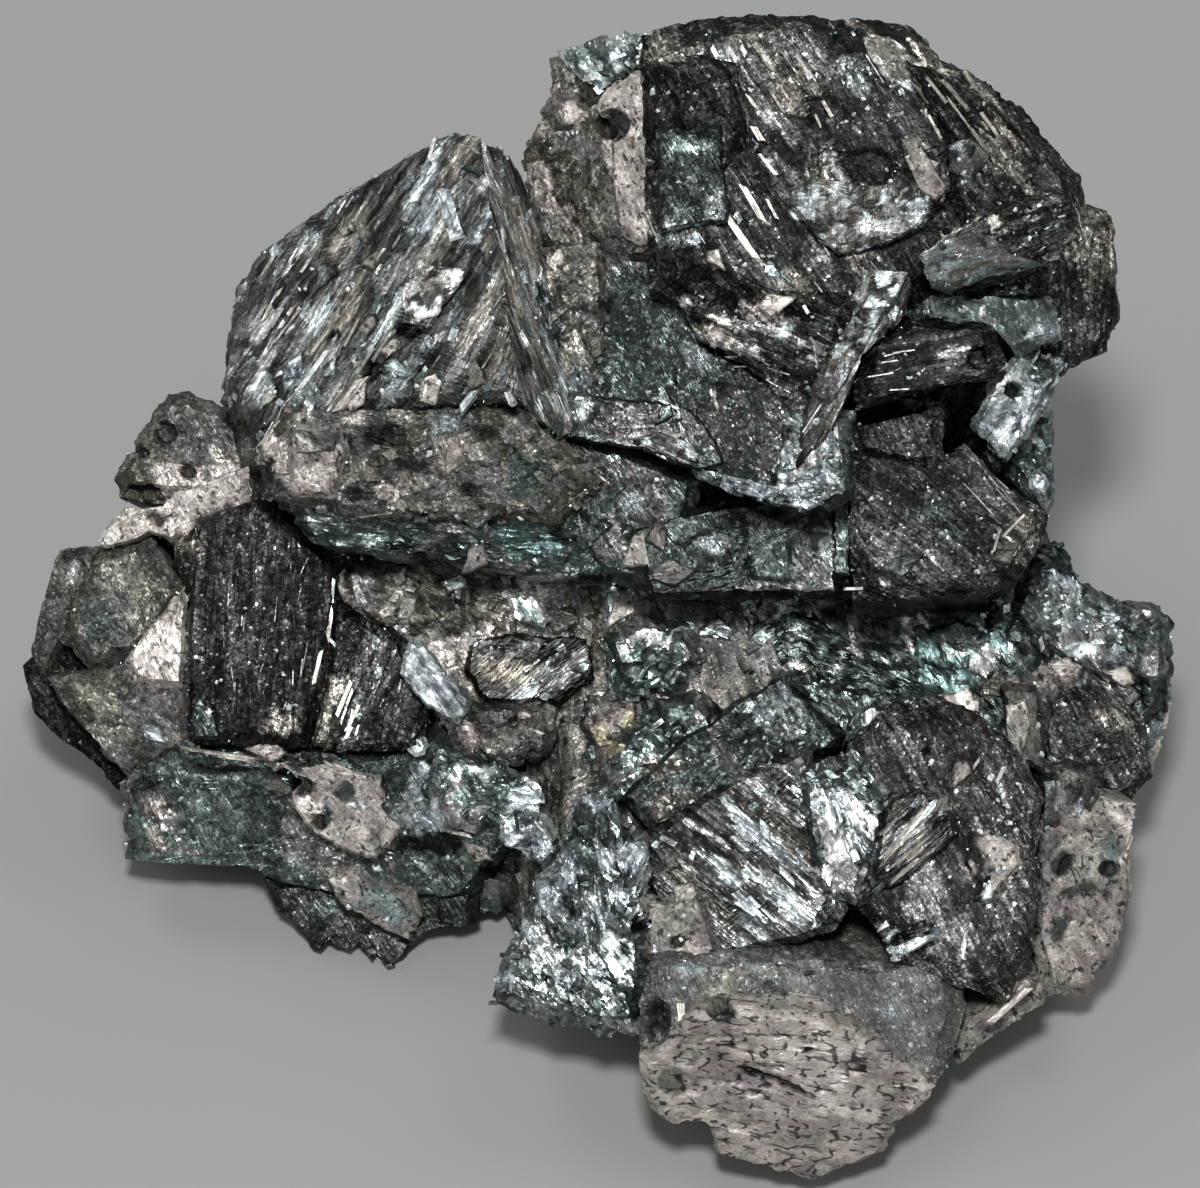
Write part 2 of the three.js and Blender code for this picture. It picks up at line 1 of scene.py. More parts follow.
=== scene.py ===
"""Arsenopyrite specimen: the fine surface of an intergrown crystal cluster, and the studio round it.

Every crystal is an outline carried inwards, in millimetres, in a display frame that leans back:
u to the right, v up the display side and w out of it. Each is made as one dense closed surface with
relief, and is strewn with small crystals. Meshes are in metres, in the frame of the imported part.
"""

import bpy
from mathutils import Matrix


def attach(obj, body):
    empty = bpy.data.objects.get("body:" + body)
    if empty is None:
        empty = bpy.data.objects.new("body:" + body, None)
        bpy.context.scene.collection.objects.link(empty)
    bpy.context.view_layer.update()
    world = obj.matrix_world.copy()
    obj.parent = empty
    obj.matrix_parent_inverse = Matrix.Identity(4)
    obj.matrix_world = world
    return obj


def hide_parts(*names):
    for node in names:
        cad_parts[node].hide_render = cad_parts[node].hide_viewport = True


bl_info = {
    "name": "Arsenopyrite Specimen",
    "version": (1, 0, 0),
    "blender": (4, 5, 0),
    "location": "View3D > Sidebar > Specimen",
    "description": "Builds a cluster of striated arsenopyrite crystals on matrix, and its studio",
    "category": "Add Mesh",
}

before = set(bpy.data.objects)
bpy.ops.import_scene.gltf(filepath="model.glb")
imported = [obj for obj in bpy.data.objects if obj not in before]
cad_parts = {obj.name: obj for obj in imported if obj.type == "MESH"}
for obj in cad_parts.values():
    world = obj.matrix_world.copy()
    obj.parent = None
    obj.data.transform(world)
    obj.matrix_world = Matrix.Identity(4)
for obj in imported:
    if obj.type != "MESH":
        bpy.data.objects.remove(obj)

import math
from dataclasses import dataclass, field

import bpy
import numpy as np

# The object, and how its display side stands
NODE = "arsenopyrite_cluster"
BODY = "root"
MM = 0.001
DISPLAY_TILT = 40.0  # degrees that the display side leans back from facing straight up
DISPLAY_HEIGHT = 30.0  # mm, the middle of the display side above the floor
TO_CENTRE = (0.4, 0.3)  # mm, brings the middle of the cluster's box over the origin
# Tints, surfaces and random draws
TONE = 0.72  # every brightness of the tables is taken this many times
SCATTER = 5  # seed of the laths and painted glints that lie in drifts and sprays
ROW_GROWTH = 1.32  # how much wider apart each row of a crystal's flank is than the one before
EVEN_ROWS = 1.6  # steps between the rows of a lump of matrix
BURIED = 0.5  # mm over a face that another crystal has to cover to hide it
CHIPS = ((1.9, 0.35), (0.7, 0.22))  # mm, sizes of an outline's broken bits and how far they stray
REST = 0.6  # share of a block's height that lies under its crystal's plane
CLOUDS = (4, 2.5)  # mm along and across the grain, size of the clouds of tone on a face
DARKEST, BRIGHTEST = 0.004, 0.92  # limits of a tint
FACE_CONTRAST, MARK_CONTRAST = 2.4, 1.6  # how much its small blocks vary the tint of a face or mark
EDGE_SLOPE = 4  # how steeply a mark or hole sets in
MARK_NOISE, MARK_BLOCKS = 0.9, 0.5  # how much noise and the small blocks break a mark's edge
CREASE_SHADE_SLOPE = 3  # how steeply painted shade darkens the tint into the creases between blocks
CLOUD_TONE, CLOUD_GAIN = 0.75, 0.5  # brightness of the darkest clouds, and what noise adds to it
RAGS = (1.6, 0.8)  # mm along and across the grain, size of the ragged bits of a mark's edge
HOLE_PAINTED_SHADE = 0.008  # painted shade: the tint at the bottom of a hole
HOLE_RIM, HOLE_CLEAR = 1.2, 1.1  # shares of its half sizes where a hole sets in and grains keep off
SIDES = 7  # of a knob or a speck
EYE_GRID = 25  # spots tried each way over an outline
NEAR = 3  # mm round a crystal within which a mark or hole can reach it
SHARP_ANGLE = 28  # degrees between faces from which their edge is sharp
SHIFT = 50  # mm, how far the patterns of two small crystals can lie apart
EDGE_SEED, CLOUD_SEED, MARK_SEED, LEVEL_SEED = 80, 61, 71, 20  # added to a crystal's seed
# Small crystals
SUNK, SUNK_SHARE = 0.25, 0.5  # depth of a block under its face: in mm, and by its height
TINT_SPREAD = (0.6, 1.5)  # factors between which the small crystals of one tone differ
LATH_WIDTH, LATH_HEIGHT, LATH_RISE = 0.85, 0.08, 0.2  # by its row's width; in mm, and by its width
FACET_SIZE, GLINT_PAINT_TINT = 1.2, (0.5, 0.88)  # a painted glint's size by its row's, and limits of its painted brightness
DRIFT_TURN = 4  # degrees, how far the laths of a drift stray
DRIFT_LENGTHS, DRIFT_SIZES = (0.4, 1.1), (0.7, 1.3)  # factors between which its laths differ
# Finishes
CELLS, DUST = 2.8, 6.5  # cells of a finish to the millimetre, and its finer ones
LINES = (0.5, 4.0, 1.0)  # long cells to the millimetre along and across the grain
BANDS = (0.14, 1.5, 1.0)  # broader and longer ones
CRACKS = (0.36, 1.1, 1.0)  # those whose edges are cracks
CRACK_EDGE = (0.03, 0.09)  # distances from an edge where a crack is darkest and where it ends
CRACK_NOISE = (0.61, 0.65)  # values of a noise between which cracks come in
CRACK_TONE = 0.12
WAVER = 0.7  # mm, how far the lines of a finish stray
CELL_CONTRAST = 1.6  # how much a finish's cells differ in brightness for their strength
ROUGH_CLOUDS = (0.35, 0.65)  # values of a noise between which the roughness changes
PALEST = (0.95, 0.95, 0.95)
HALFWAY = (0.5, 0.5, 0.5)  # the middle of a noise's colours
# Stage
FLOOR_HALF = 3.0  # m
FLOOR_BALL, FLOOR_FADE = (0.33, 0.33, 0.33), (0.0, 0.85)  # per m, and the part of it that fades
FLOOR_MOTTLE, FLOOR_ROUGHNESS = (0.93, 1.05), 0.8
# painted light: the far floor's colour, much paler than the near floor's
FAR_FLOOR_PAINTED_LIGHT = (0.9, 0.9, 0.9, 1)
SURROUNDINGS, GLOW = (0.8, 0.82, 0.84, 1), 0.25  # their colour and strength
SENSOR = 36  # mm
CLIP = 0.05  # m, the nearest that the camera shows
KEY_LIGHT = ("key_light", -3, 66, 1.1, 0.14)  # as the lights below, without its power
LIGHTS = (  # name, azimuth, elevation, distance and size in metres, power
    ("front_light", 5, 50, 1.5, 1.2, 2.7), ("left_light", -75, 35, 1.3, 0.5, 2.5),
    ("right_light", 80, 30, 1.3, 0.5, 2.0), ("back_left_light", -140, 45, 1.3, 0.5, 4.0),
    ("back_right_light", 140, 45, 1.3, 0.5, 4.0),
)

# ---- Looks: tones, relief and the small crystals of a crust

GREY = (0.985, 1.0, 0.965)
SAND = (1.05, 1.0, 0.88)
BLUSH = (1.07, 0.99, 0.92)
OLIVE = (1.06, 1.02, 0.82)
TEAL = (0.82, 1.04, 0.99)
FROST = (0.91, 1.02, 1.04)
CYAN = (0.72, 1.1, 1.04)
BRASS = (1.12, 1.03, 0.72)


@dataclass(frozen=True)
class Relief:
    """Intergrown blocks: their spacing along and across the grain in mm, height, turn and tilt."""

    along: float
    across: float
    height: float
    turn: float = 90.0
    tilt: float = 0.5


@dataclass(frozen=True)
class Crust:
    """Small crystals on a face: how many to the square millimetre, sizes in mm, angles, tones."""

    share: float
    length: tuple
    width: tuple
    height: tuple
    tilt: float
    turn: float
    tones: tuple
    finish: str


@dataclass(frozen=True)
class Look:
    """How a crystal is finished: tones as (weight, brightness, hue), relief, crusts and material."""

    tones: tuple
    finish: str
    relief: tuple
    crusts: tuple
    mottle: float = 0.5
    # how much darker the creases between blocks are painted, as shade
    painted_crease_shade: float = 0.5


BLACKS = ((5, 0.018, GREY), (3, 0.035, GREY), (2, 0.09, GREY), (1, 0.17, SAND))
COALS = ((4, 0.016, GREY), (3, 0.03, GREY), (1, 0.06, GREY))
GRAPHITES = ((4, 0.075, GREY), (3, 0.1, GREY), (2, 0.13, SAND), (1, 0.18, GREY))
GREYS = ((3, 0.05, GREY), (3, 0.1, GREY), (2, 0.15, SAND), (3, 0.22, GREY), (1, 0.4, FROST))
TEALS = ((4, 0.04, TEAL), (3, 0.075, TEAL), (1, 0.09, CYAN), (3, 0.12, GREY), (1, 0.24, FROST))
SLATES = ((4, 0.05, TEAL), (4, 0.075, TEAL), (3, 0.1, GREY), (1, 0.2, FROST))
SILVERS = ((2, 0.12, TEAL), (3, 0.28, FROST), (3, 0.48, FROST), (1, 0.8, GREY))
PLATES_OF_STEEL = ((2, 0.24, FROST), (4, 0.34, FROST), (2, 0.48, FROST))
TANS = ((2, 0.2, SAND), (4, 0.28, SAND), (2, 0.36, BLUSH))
PALES = ((1, 0.2, BLUSH), (4, 0.28, BLUSH), (3, 0.34, SAND), (1, 0.42, BLUSH))
GRAINS = ((3, 0.08, GREY), (4, 0.16, SAND), (3, 0.28, GREY), (2, 0.5, FROST))
EARTHS = ((3, 0.045, OLIVE), (3, 0.08, GREY), (3, 0.13, SAND), (1, 0.28, BLUSH))
DULLS = ((3, 0.07, OLIVE), (3, 0.09, GREY), (2, 0.12, SAND), (1, 0.2, SAND))
STREAKS = ((4, 0.12, SAND), (3, 0.25, GREY), (2, 0.45, FROST), (1, 0.75, GREY))
# tints of the small specks strewn over most faces, paler than the faces: partly their own bright faces and
# partly painted glints
SPARKLE = ((3, 0.25, CYAN), (1, 0.6, CYAN), (2, 0.5, FROST), (2, 0.85, GREY), (1, 0.5, SAND))

GLINTS = Crust(0.13, (0.14, 0.5), (0.15, 0.4), (0.1, 0.25), 25, 90, SPARKLE, "steel")

LOOKS = {
    "blades": Look(
        BLACKS, "mirror", (Relief(7, 2.2, 0.3, 14, 0.4), Relief(2.6, 1.0, 0.08, 14, 0.7)),
        (Crust(0.05, (1.0, 4.0), (0.12, 0.3), (0.03, 0.1), 4, 8, STREAKS, "striated"),
         Crust(0.05, (0.5, 1.5), (0.3, 0.9), (0.05, 0.2), 8, 25, SILVERS, "steel"), GLINTS), 0.7, 0.2),
    "striated": Look(
        GREYS, "striated", (Relief(10, 1.7, 0.22, 6, 0.3), Relief(4, 1.0, 0.08, 7, 0.8)),
        (Crust(0.08, (1.5, 6.0), (0.12, 0.3), (0.03, 0.1), 4, 4, STREAKS, "striated"),
         Crust(0.14, (0.6, 2.4), (0.35, 1.2), (0.06, 0.25), 11, 15, SILVERS, "steel"), GLINTS), 0.65, 0.15),
    "mirror": Look(
        COALS, "mirror", (Relief(11, 8, 0.35, 20, 0.3), Relief(2.2, 1.8, 0.1, 60, 0.6)),
        (Crust(0.05, (0.8, 3.5), (0.06, 0.12), (0.02, 0.06), 3, 20, GREYS, "striated"), GLINTS), 0.35, 0.3),
    "slate": Look(
        SLATES, "steel", (Relief(6, 4.5, 0.25, 60, 0.3), Relief(1.5, 1.2, 0.08, 90, 0.6)),
        (Crust(0.06, (0.6, 1.6), (0.4, 1.0), (0.1, 0.25), 10, 90, TEALS, "steel"), GLINTS), 0.35),
    "druse": Look(
        TEALS, "steel", (Relief(4.5, 3.5, 0.7, 60, 0.5), Relief(1.6, 1.3, 0.3, 90, 0.7)),
        (Crust(0.1, (0.6, 1.8), (0.4, 1.2), (0.15, 0.4), 18, 90, TEALS, "steel"), GLINTS)),
    "frost": Look(
        SILVERS, "steel", (Relief(4.5, 2.4, 0.7, 35, 0.6), Relief(1.7, 1.1, 0.22, 50, 0.7)),
        (Crust(0.2, (0.6, 2.0), (0.3, 0.9), (0.15, 0.4), 16, 25, SILVERS, "steel"), GLINTS), 0.55),
    "graphite": Look(
        GRAPHITES, "matrix", (Relief(7, 5, 0.2, 30, 0.2), Relief(1.3, 1.0, 0.1, 90, 0.4)), (GLINTS,),
        0.25, 0.2),
    "glitter": Look(
        SILVERS, "glint", (Relief(1.8, 1.5, 0.45, 60, 0.7), Relief(0.9, 0.8, 0.25, 90, 0.9)),
        (Crust(0.7, (0.3, 0.9), (0.25, 0.7), (0.1, 0.3), 25, 90, SPARKLE, "glint"),), 1.0),
    "plate": Look(
        PLATES_OF_STEEL, "plate", (Relief(3, 1.6, 0.15, 20, 0.3), Relief(1.0, 0.7, 0.08, 40, 0.6)), (), 0.6),
    "tan": Look(
        TANS, "cleaved", (Relief(5, 3, 0.15, 30, 0.2), Relief(1.4, 0.9, 0.06, 30, 0.4)), (), 0.35, 0.3),
    "cleaved": Look(
        PALES, "cleaved", (Relief(5, 3.5, 0.16, 30, 0.15), Relief(1.6, 1.0, 0.07, 40, 0.3)), (GLINTS,),
        0.35, 0.35),
    "cracked": Look(
        PALES, "cracked", (Relief(5, 2.2, 0.35, 15, 0.25), Relief(1.4, 0.8, 0.1, 20, 0.35)), (), 0.2, 0.35),
    "grainy": Look(GRAINS, "matrix", (Relief(1.2, 1.0, 0.2, 90, 0.7),), (GLINTS,), 0.6, 0.3),
    "dull": Look(
        DULLS, "matrix", (Relief(5, 4, 0.35, 60, 0.3), Relief(1.7, 1.3, 0.12, 90, 0.6)), (GLINTS,),
        0.35, 0.3),
    "earth": Look(
        EARTHS, "matrix", (Relief(4, 3.2, 0.6, 60, 0.5), Relief(1.5, 1.2, 0.25, 90, 0.7)),
        (Crust(0.2, (0.5, 2.0), (0.4, 1.5), (0.15, 0.45), 18, 90, EARTHS, "matrix"), GLINTS)),
}

# ---- Crystals: sizes in millimetres, angles in degrees


@dataclass(frozen=True)
class Crystal:
    """An outline in u and v, the height and lean of its face, and how it runs inwards from it."""

    outline: np.ndarray
    front: float
    lean: tuple
    look: str
    shade: float = 1.0
    grain: float = -60.0
    bevel: float = 1.5
    deep: float = 16.0
    into: tuple = (0.0, 0.0)
    narrow: float = 0.86
    resting: bool = False


def crystal(outline, front, lean, look, shade=1.0, **other):
    """A crystal of the display side. Its outline is the u and v of each corner, one after another."""
    return Crystal(np.reshape(outline, (-1, 2)), front, lean, look, shade, **other)


def plate(outline, above, look, shade=1.0, grain=-60.0, bevel=0.25):
    """A small crystal that lies on the one under its middle, and stands so far above its face."""
    return crystal(outline, above, (0, 0), look, shade, grain=grain, bevel=bevel, deep=3.0, narrow=0.95,
                   resting=True)


def chip(u, v, size, angle, look, shade=1.0, above=0.6):
    """A small crystal of four or five uneven corners, longer than it is wide."""
    corners = 4 + round(abs(u)) % 2
    outline = []
    for k in range(corners):
        turn = math.tau * (k + 0.3 * math.sin(3 * u + 5 * k)) / corners
        along, across = 0.55 * size * math.cos(turn), 0.33 * size * math.sin(turn)
        c, s = math.cos(math.radians(angle)), math.sin(math.radians(angle))
        outline.append((u + along * c - across * s, v + along * s + across * c))
    return plate(outline, above, look, shade, angle)


def knob(u, v, radius, look, shade=1.0):
    """A small crystal of many sides that stands out."""
    turns = [k * math.tau / SIDES for k in range(SIDES)]
    outline = [(u + radius * math.cos(turn), v + radius * math.sin(turn)) for turn in turns]
    return plate(outline, 0.6 * radius, look, shade, bevel=0.45 * radius)


GREAT_CRYSTAL = (
    crystal((4.5, 56, 10, 57.5, 17, 58, 25, 57.5, 30.5, 57, 34.5, 53.5, 38.5, 51, 42.5, 48, 44.5, 45,
        47.5, 42, 49, 37, 48.5, 34, 46, 30.5, 34, 29.5, 26, 27, 15, 27, 5, 30.5), 15, (-0.05, -0.2),
        "blades", 0.45, grain=-57, bevel=3, deep=24, into=(-2, -5), narrow=0.88),
    crystal((5, 52.5, 8, 53.5, 13.5, 52, 14.5, 46, 13, 40.5, 6, 41, 4.5, 46), 17, (0.12, 0.15), "mirror",
        0.27, deep=10),
    crystal((5.5, 45.5, 12, 46, 12.5, 36.5, 6, 35.5), 19, (0.1, 0.05), "slate", 0.42, bevel=0.5, deep=10),
    crystal((20, 42.5, 23, 45, 28, 41, 34, 44.5, 34.5, 39.5, 32, 36, 28, 34, 24.5, 34, 21, 36), 19,
        (0, 0.1), "blades", 0.8, deep=10),
    crystal((30, 52.5, 36, 51.5, 42, 46.5, 46, 41.5, 47.5, 35.5, 45, 32.5, 36, 34, 34, 39.5, 34, 45), 16,
        (-0.3, -0.1), "blades", 0.52, grain=-52, bevel=2, deep=12),
)

LEFT_OF_GREAT_CRYSTAL = (
    crystal((4.5, 55.5, 4, 50, 5, 34.5, 0, 33, -6, 39.5, -8, 44.5, -5, 49.5, -5, 53.5, -1, 55), 6,
        (0.7, -0.1), "earth", 1.2, deep=20, into=(3, -3)),
    crystal((4.5, 55.5, 4, 52, 0, 50, -2.5, 52, -4, 54, 0.5, 55), 8.5, (0.6, -0.3), "frost", 3.0, bevel=0.8,
        deep=9),
    crystal((4, 52, 5.5, 45.5, 6, 39.5, 5, 34, 2, 35.5, 1, 44.5, -0.5, 48, 0.5, 50), 11, (0.4, 0),
        "cleaved", 1.1, bevel=0.8, deep=12),
    crystal((-5.8, 48, -4.5, 50, -2, 50, -0.8, 48, -2, 45.8, -4.5, 45.8), 5.5, (0.3, 0), "cleaved", 0.35,
        bevel=1, deep=7),
    crystal((-7.8, 44.5, -4, 45.5, 0.5, 43.5, 1, 35.5, -1, 32.5, -5.5, 34, -7, 39.5), 5, (0.5, 0), "earth",
        1.45, deep=14, into=(2, -2)),
)

RIGHT_OF_GREAT_CRYSTAL = (
    crystal((48.5, 39.5, 51, 38.5, 51.5, 36, 52, 30.5, 52, 28, 51, 24.5, 48.5, 23.5, 46, 21.5, 44, 26.5,
        45, 35.5, 47, 38), 6, (-0.4, 0), "mirror", 0.7, grain=90, deep=24, into=(-6, -4), narrow=0.75),
    crystal((31.5, 33, 34.5, 35.5, 40, 39, 46, 39.5, 47, 36, 45, 33, 40, 30.5, 34, 29.5), 19, (-0.3, 0.2),
        "blades", 2.0, grain=20, deep=14),
    crystal((30, 30.5, 40, 30, 45, 29.5, 45.5, 25, 41, 23.5, 38.5, 26, 30.5, 27), 14, (-0.2, 0), "slate",
        2.0),
)

MIDDLE_BLOCKS = (
    crystal((5.5, 34.5, 16, 32.5, 24, 29.5, 24.5, 25.5, 21.5, 18.5, 19, 15.5, 16, 21.5, 10, 25, 6.5, 30.5),
        16, (0, 0.15), "blades", 1.15, grain=-25),
    crystal((26, 32, 30.5, 31, 30, 27.5, 26, 23.5, 22.5, 15.5, 19.5, 12.5, 19.5, 16.5, 24, 26), 20,
        (0.1, 0.1), "striated", 1.2, grain=60, bevel=0.8),
    crystal((25.5, 24.5, 30.5, 27, 38.5, 26.5, 40, 22.5, 38, 21, 25, 18), 20, (0, -0.1), "mirror", 0.3,
        grain=12, deep=20),
    crystal((25, 17, 33.5, 19.5, 34, 13, 30.5, 12.5, 25, 14), 17.5, (0, 0.1), "mirror", 1.2, deep=20),
    crystal((25, 14.5, 30.5, 13, 36, 15, 40, 10.5, 44.5, 8, 43.5, 5.5, 41, 1.5, 36, 0.5, 25, -0.5,
        24.5, 7.5), 16, (-0.15, 0.05), "mirror", 1.4, grain=-40, deep=28, into=(0, -4)),
    crystal((42, 24.5, 45.5, 23, 45, 19.5, 40, 13, 37, 16.5, 39, 21), 12, (-0.5, 0), "frost", 1.15,
        grain=55, bevel=0.8, deep=20),
    crystal((40, 19.5, 45, 20.5, 45.5, 15.5, 45.5, 9.5, 44.5, 8, 41, 11.5, 38.5, 14.5), 7.5, (-0.3, 0),
        "druse", 2.1, deep=20, into=(-4, -2)),
)

CENTRE_PLATE = (
    crystal((-4, 35, 5.5, 34.5, 6.5, 31, 10, 25, 16, 21.5, 20, 18.5, 25, 18, 25, 13.5, 24.5, 9.5, 22.5, 8,
        16, 9, 10, 12, 4, 14.5, -3, 19.5, -5.5, 26.5), 13, (0.25, -0.15), "slate", 0.7, deep=14),
    crystal((-6.5, 34, 0, 34.5, 0.5, 26.5, 0, 18.5, -4, 15.5, -5.5, 26.5), 9.5, (0.3, 0), "earth", 1.45,
        deep=18),
    crystal((-3.5, 20, 2, 19.5, 10, 18.5, 13, 12.5, 10, 12, 4, 14.5, -4, 15.5), 13, (0.1, -0.2), "slate",
        0.57, bevel=0.8),
    crystal((9, 8.5, 16, 9.5, 25, 10.5, 25, -0.5, 10, -0.5, 4, -0.5, 2, 6.5), 9, (0, 0), "slate", 0.56,
        deep=20),
)

WEDGE_CRYSTAL = (
    crystal((-38, 21, -36.5, 30.5, -34, 34, -30, 37, -26.5, 39.5, -20, 43, -14.5, 46, -12, 45, -8, 19.5,
        -16, 19, -25, 18.5, -34, 13.5, -36, 19), 9, (0.475, -0.04), "striated", 0.85, grain=57, bevel=1,
        deep=20, into=(4, -5), narrow=0.84),
    crystal((-12, 45, -10, 44.5, -8, 42, -6.5, 39, -5, 29.5, -2.5, 16.5, -4, 15.5, -8, 19.5), 12.5,
        (-0.75, -0.24), "striated", grain=-70, bevel=0.6, deep=20, into=(0, -5), narrow=0.84),
)

LEDGE = (
    crystal((-34, 13.5, -31, 18.5, -25, 18.5, -15, 19, -7, 18, -3.5, 15, 0, 11.5, -4, 7.5, -18, 7.5, -30, 9,
        -33.5, 10), 10, (0.2, 0.25), "earth", 1.35, deep=20, into=(2, -3)),
    crystal((-31, 17, -25.5, 17, -25, 13.5, -26, 9.5, -30.5, 9.5, -31, 13.5), 10, (0.1, 0.1), "cleaved",
        0.7, bevel=0.8, deep=12),
    crystal((-31, 9, -25, 9.5, -15, 9, -4, 8, 1.5, 9.5, 2.5, 3.5, 0, 1.5, -6, 2, -17, 4, -27, 4.5,
        -30, 6.5), 6, (0.15, 0.2), "druse", 1.8, grain=-5, bevel=1, deep=18, into=(2, -2)),
    crystal((-4, 16.5, 3, 14.5, 10, 11.5, 9, 5.5, 4, 0.5, 0, 1.5, -4, 9.5), 8.5, (0.1, 0.1), "slate", 1.2),
)

LEFT_GROUP = (
    crystal((-44, 20.5, -42, 21, -37.5, 19, -35.5, 17.5, -35, 15, -34, 11.5, -36, 9.5, -44, 9.5, -49, 10,
        -49.5, 12, -47.5, 16), -8, (0.1, -0.1), "dull", 0.85, bevel=2, into=(3, -3)),
    crystal((-50.8, 4.7, -50, 6.5, -48, 8.6, -44, 8.9, -42.8, 10.2, -40.5, 10.8, -35.5, 13, -35, 9.5,
        -40, 6, -43, 5, -45.5, 6.2, -49, 4.8), -6.5, (0.1, 0.1), "cleaved", 1.45, bevel=0.5, into=(3, -1)),
    crystal((-50.5, 5, -46, 6.5, -44, 2.5, -41, 0.5, -43.5, -3.5, -47.5, -7, -52, -8, -55, -4.5, -54, 0.5),
        -8, (0.15, 0), "dull", bevel=2, deep=15, into=(4, 0)),
    crystal((-55, 4.5, -52.5, 5, -50.5, 4.5, -53, -0.5, -55, -5.5, -56.5, -8.5, -58, -6, -56.5, -0.5), -11,
        (0.3, 0), "dull", 0.8, bevel=0.8, deep=12, into=(6, 0)),
    crystal((-42, 1, -41.5, -0.5, -42, -9.5, -47, -9, -48, -6.5, -45, -3), -6, (0.1, -0.05), "cleaved", 1.6,
        bevel=0.8),
    crystal((-42.8, 5, -40.5, 7, -37, 8.5, -34, 9.5, -27, 3.5, -26, -0.5, -27.5, -9.5, -29.5, -15.5,
        -41.5, -15, -41.5, 0.5, -42.5, 3), -3.5, (0.1, -0.1), "mirror", 0.6, grain=85, bevel=1, deep=20),
    crystal((-56.5, -8.5, -52, -8, -47.5, -7, -42, -9.5, -41, -15, -45, -18, -47, -19.5, -50.5, -16,
        -54, -12), -8, (0.2, 0.2), "dull", bevel=1, deep=14, into=(5, 3)),
    crystal((-59, -7.5, -56.5, -5.5, -54, -6, -49, -12, -45, -18, -46, -21.5, -48.5, -20.5, -51, -17.5,
        -55.5, -14.5, -58, -12), -13, (0.1, 0.1), "mirror", 0.35, bevel=1, deep=10, into=(5, 4)),
    crystal((-26.5, -0.5, -20, -4.5, -17, -11, -18, -15.5, -27, -16, -29, -15, -27.5, -9.5), -2,
        (0.1, -0.1), "blades", 0.72, grain=70, bevel=1),
    crystal((-19, -4.5, -17.5, -5, -13, -11, -14, -13, -17, -11.5, -20, -8), 1, (-0.1, 0.1), "plate", 1.6,
        grain=-52, bevel=0.5, deep=9),
)

SLAB = (
    crystal((-48.5, -19.5, -41.5, -15, -30, -15, -22, -16, -16, -14, -6, -19.5, -5, -23.5, -10, -27,
        -13, -31, -19, -31, -25, -31, -32.5, -29.5, -35, -28, -48, -27), -5, (0.1, 0.15), "slate", 1.5,
        deep=15, into=(2, 5)),
    crystal((-32.5, -17, -29, -17, -25.5, -17.3, -22, -18.4, -21.5, -21.9, -20, -23.3, -20.5, -24.5,
        -22.4, -26.5, -25, -25.8, -28.7, -23.8, -31, -21, -30.5, -18.5), -2, (0, 0.1), "cleaved", 0.95,
        bevel=0.3, deep=10),
    crystal((-10, -22, -6, -22, -4, -25.5, -5.5, -27, -9.5, -25), 4, (0, 0.1), "frost", bevel=0.4, deep=12,
        into=(0, 3)),
    crystal((-27.3, -28.8, -24.6, -28.5, -22, -30, -18.8, -30, -17.8, -32.4, -19.2, -35, -21.5, -34,
        -26, -31), -4, (0, 0.4), "cleaved", bevel=0.3, deep=8, into=(0, 4)),
    crystal((-34, -29, -33, -31.5, -31, -33.5, -29, -36, -27.8, -35, -25.8, -36, -24.5, -35, -23, -37.3,
        -22.3, -36.3, -21, -38, -19.5, -36.5, -18.3, -35, -16.5, -33.8, -12, -33, -12, -29), -7, (0.1, 0),
        "slate", 0.36, bevel=0.8, deep=10, into=(0, 4)),
    crystal((-34, -28.5, -27, -28, -18, -27.5, -9, -28.5, -8.5, -32, -12, -32.5, -17, -32, -18.5, -34.5,
        -22, -35, -27, -33, -31.5, -31), -9, (0.1, 0.3), "slate", 2.2, bevel=1, deep=12, into=(0, 5)),
    crystal((-16, -15.5, -10, -16.5, -5.5, -19.5, -5.5, -23, -10, -23.5, -16, -23.5, -18, -19.5), 0,
        (0.1, 0.1), "druse", 3.7, bevel=2, deep=12),
)

TEAL_BLOCK = (
    crystal((-2.5, -20.5, 0, -20, 4, -25.5, 4.5, -30.5, 5, -36.5, 4, -44, 0, -44, -6, -42.5, -11, -41,
        -10, -36.5, -7.5, -32, -7, -28.5, -4, -26.5), 12.5, (0.2, -0.1), "frost", 0.6, grain=-45, bevel=2,
        deep=17, into=(3, 4)),
)

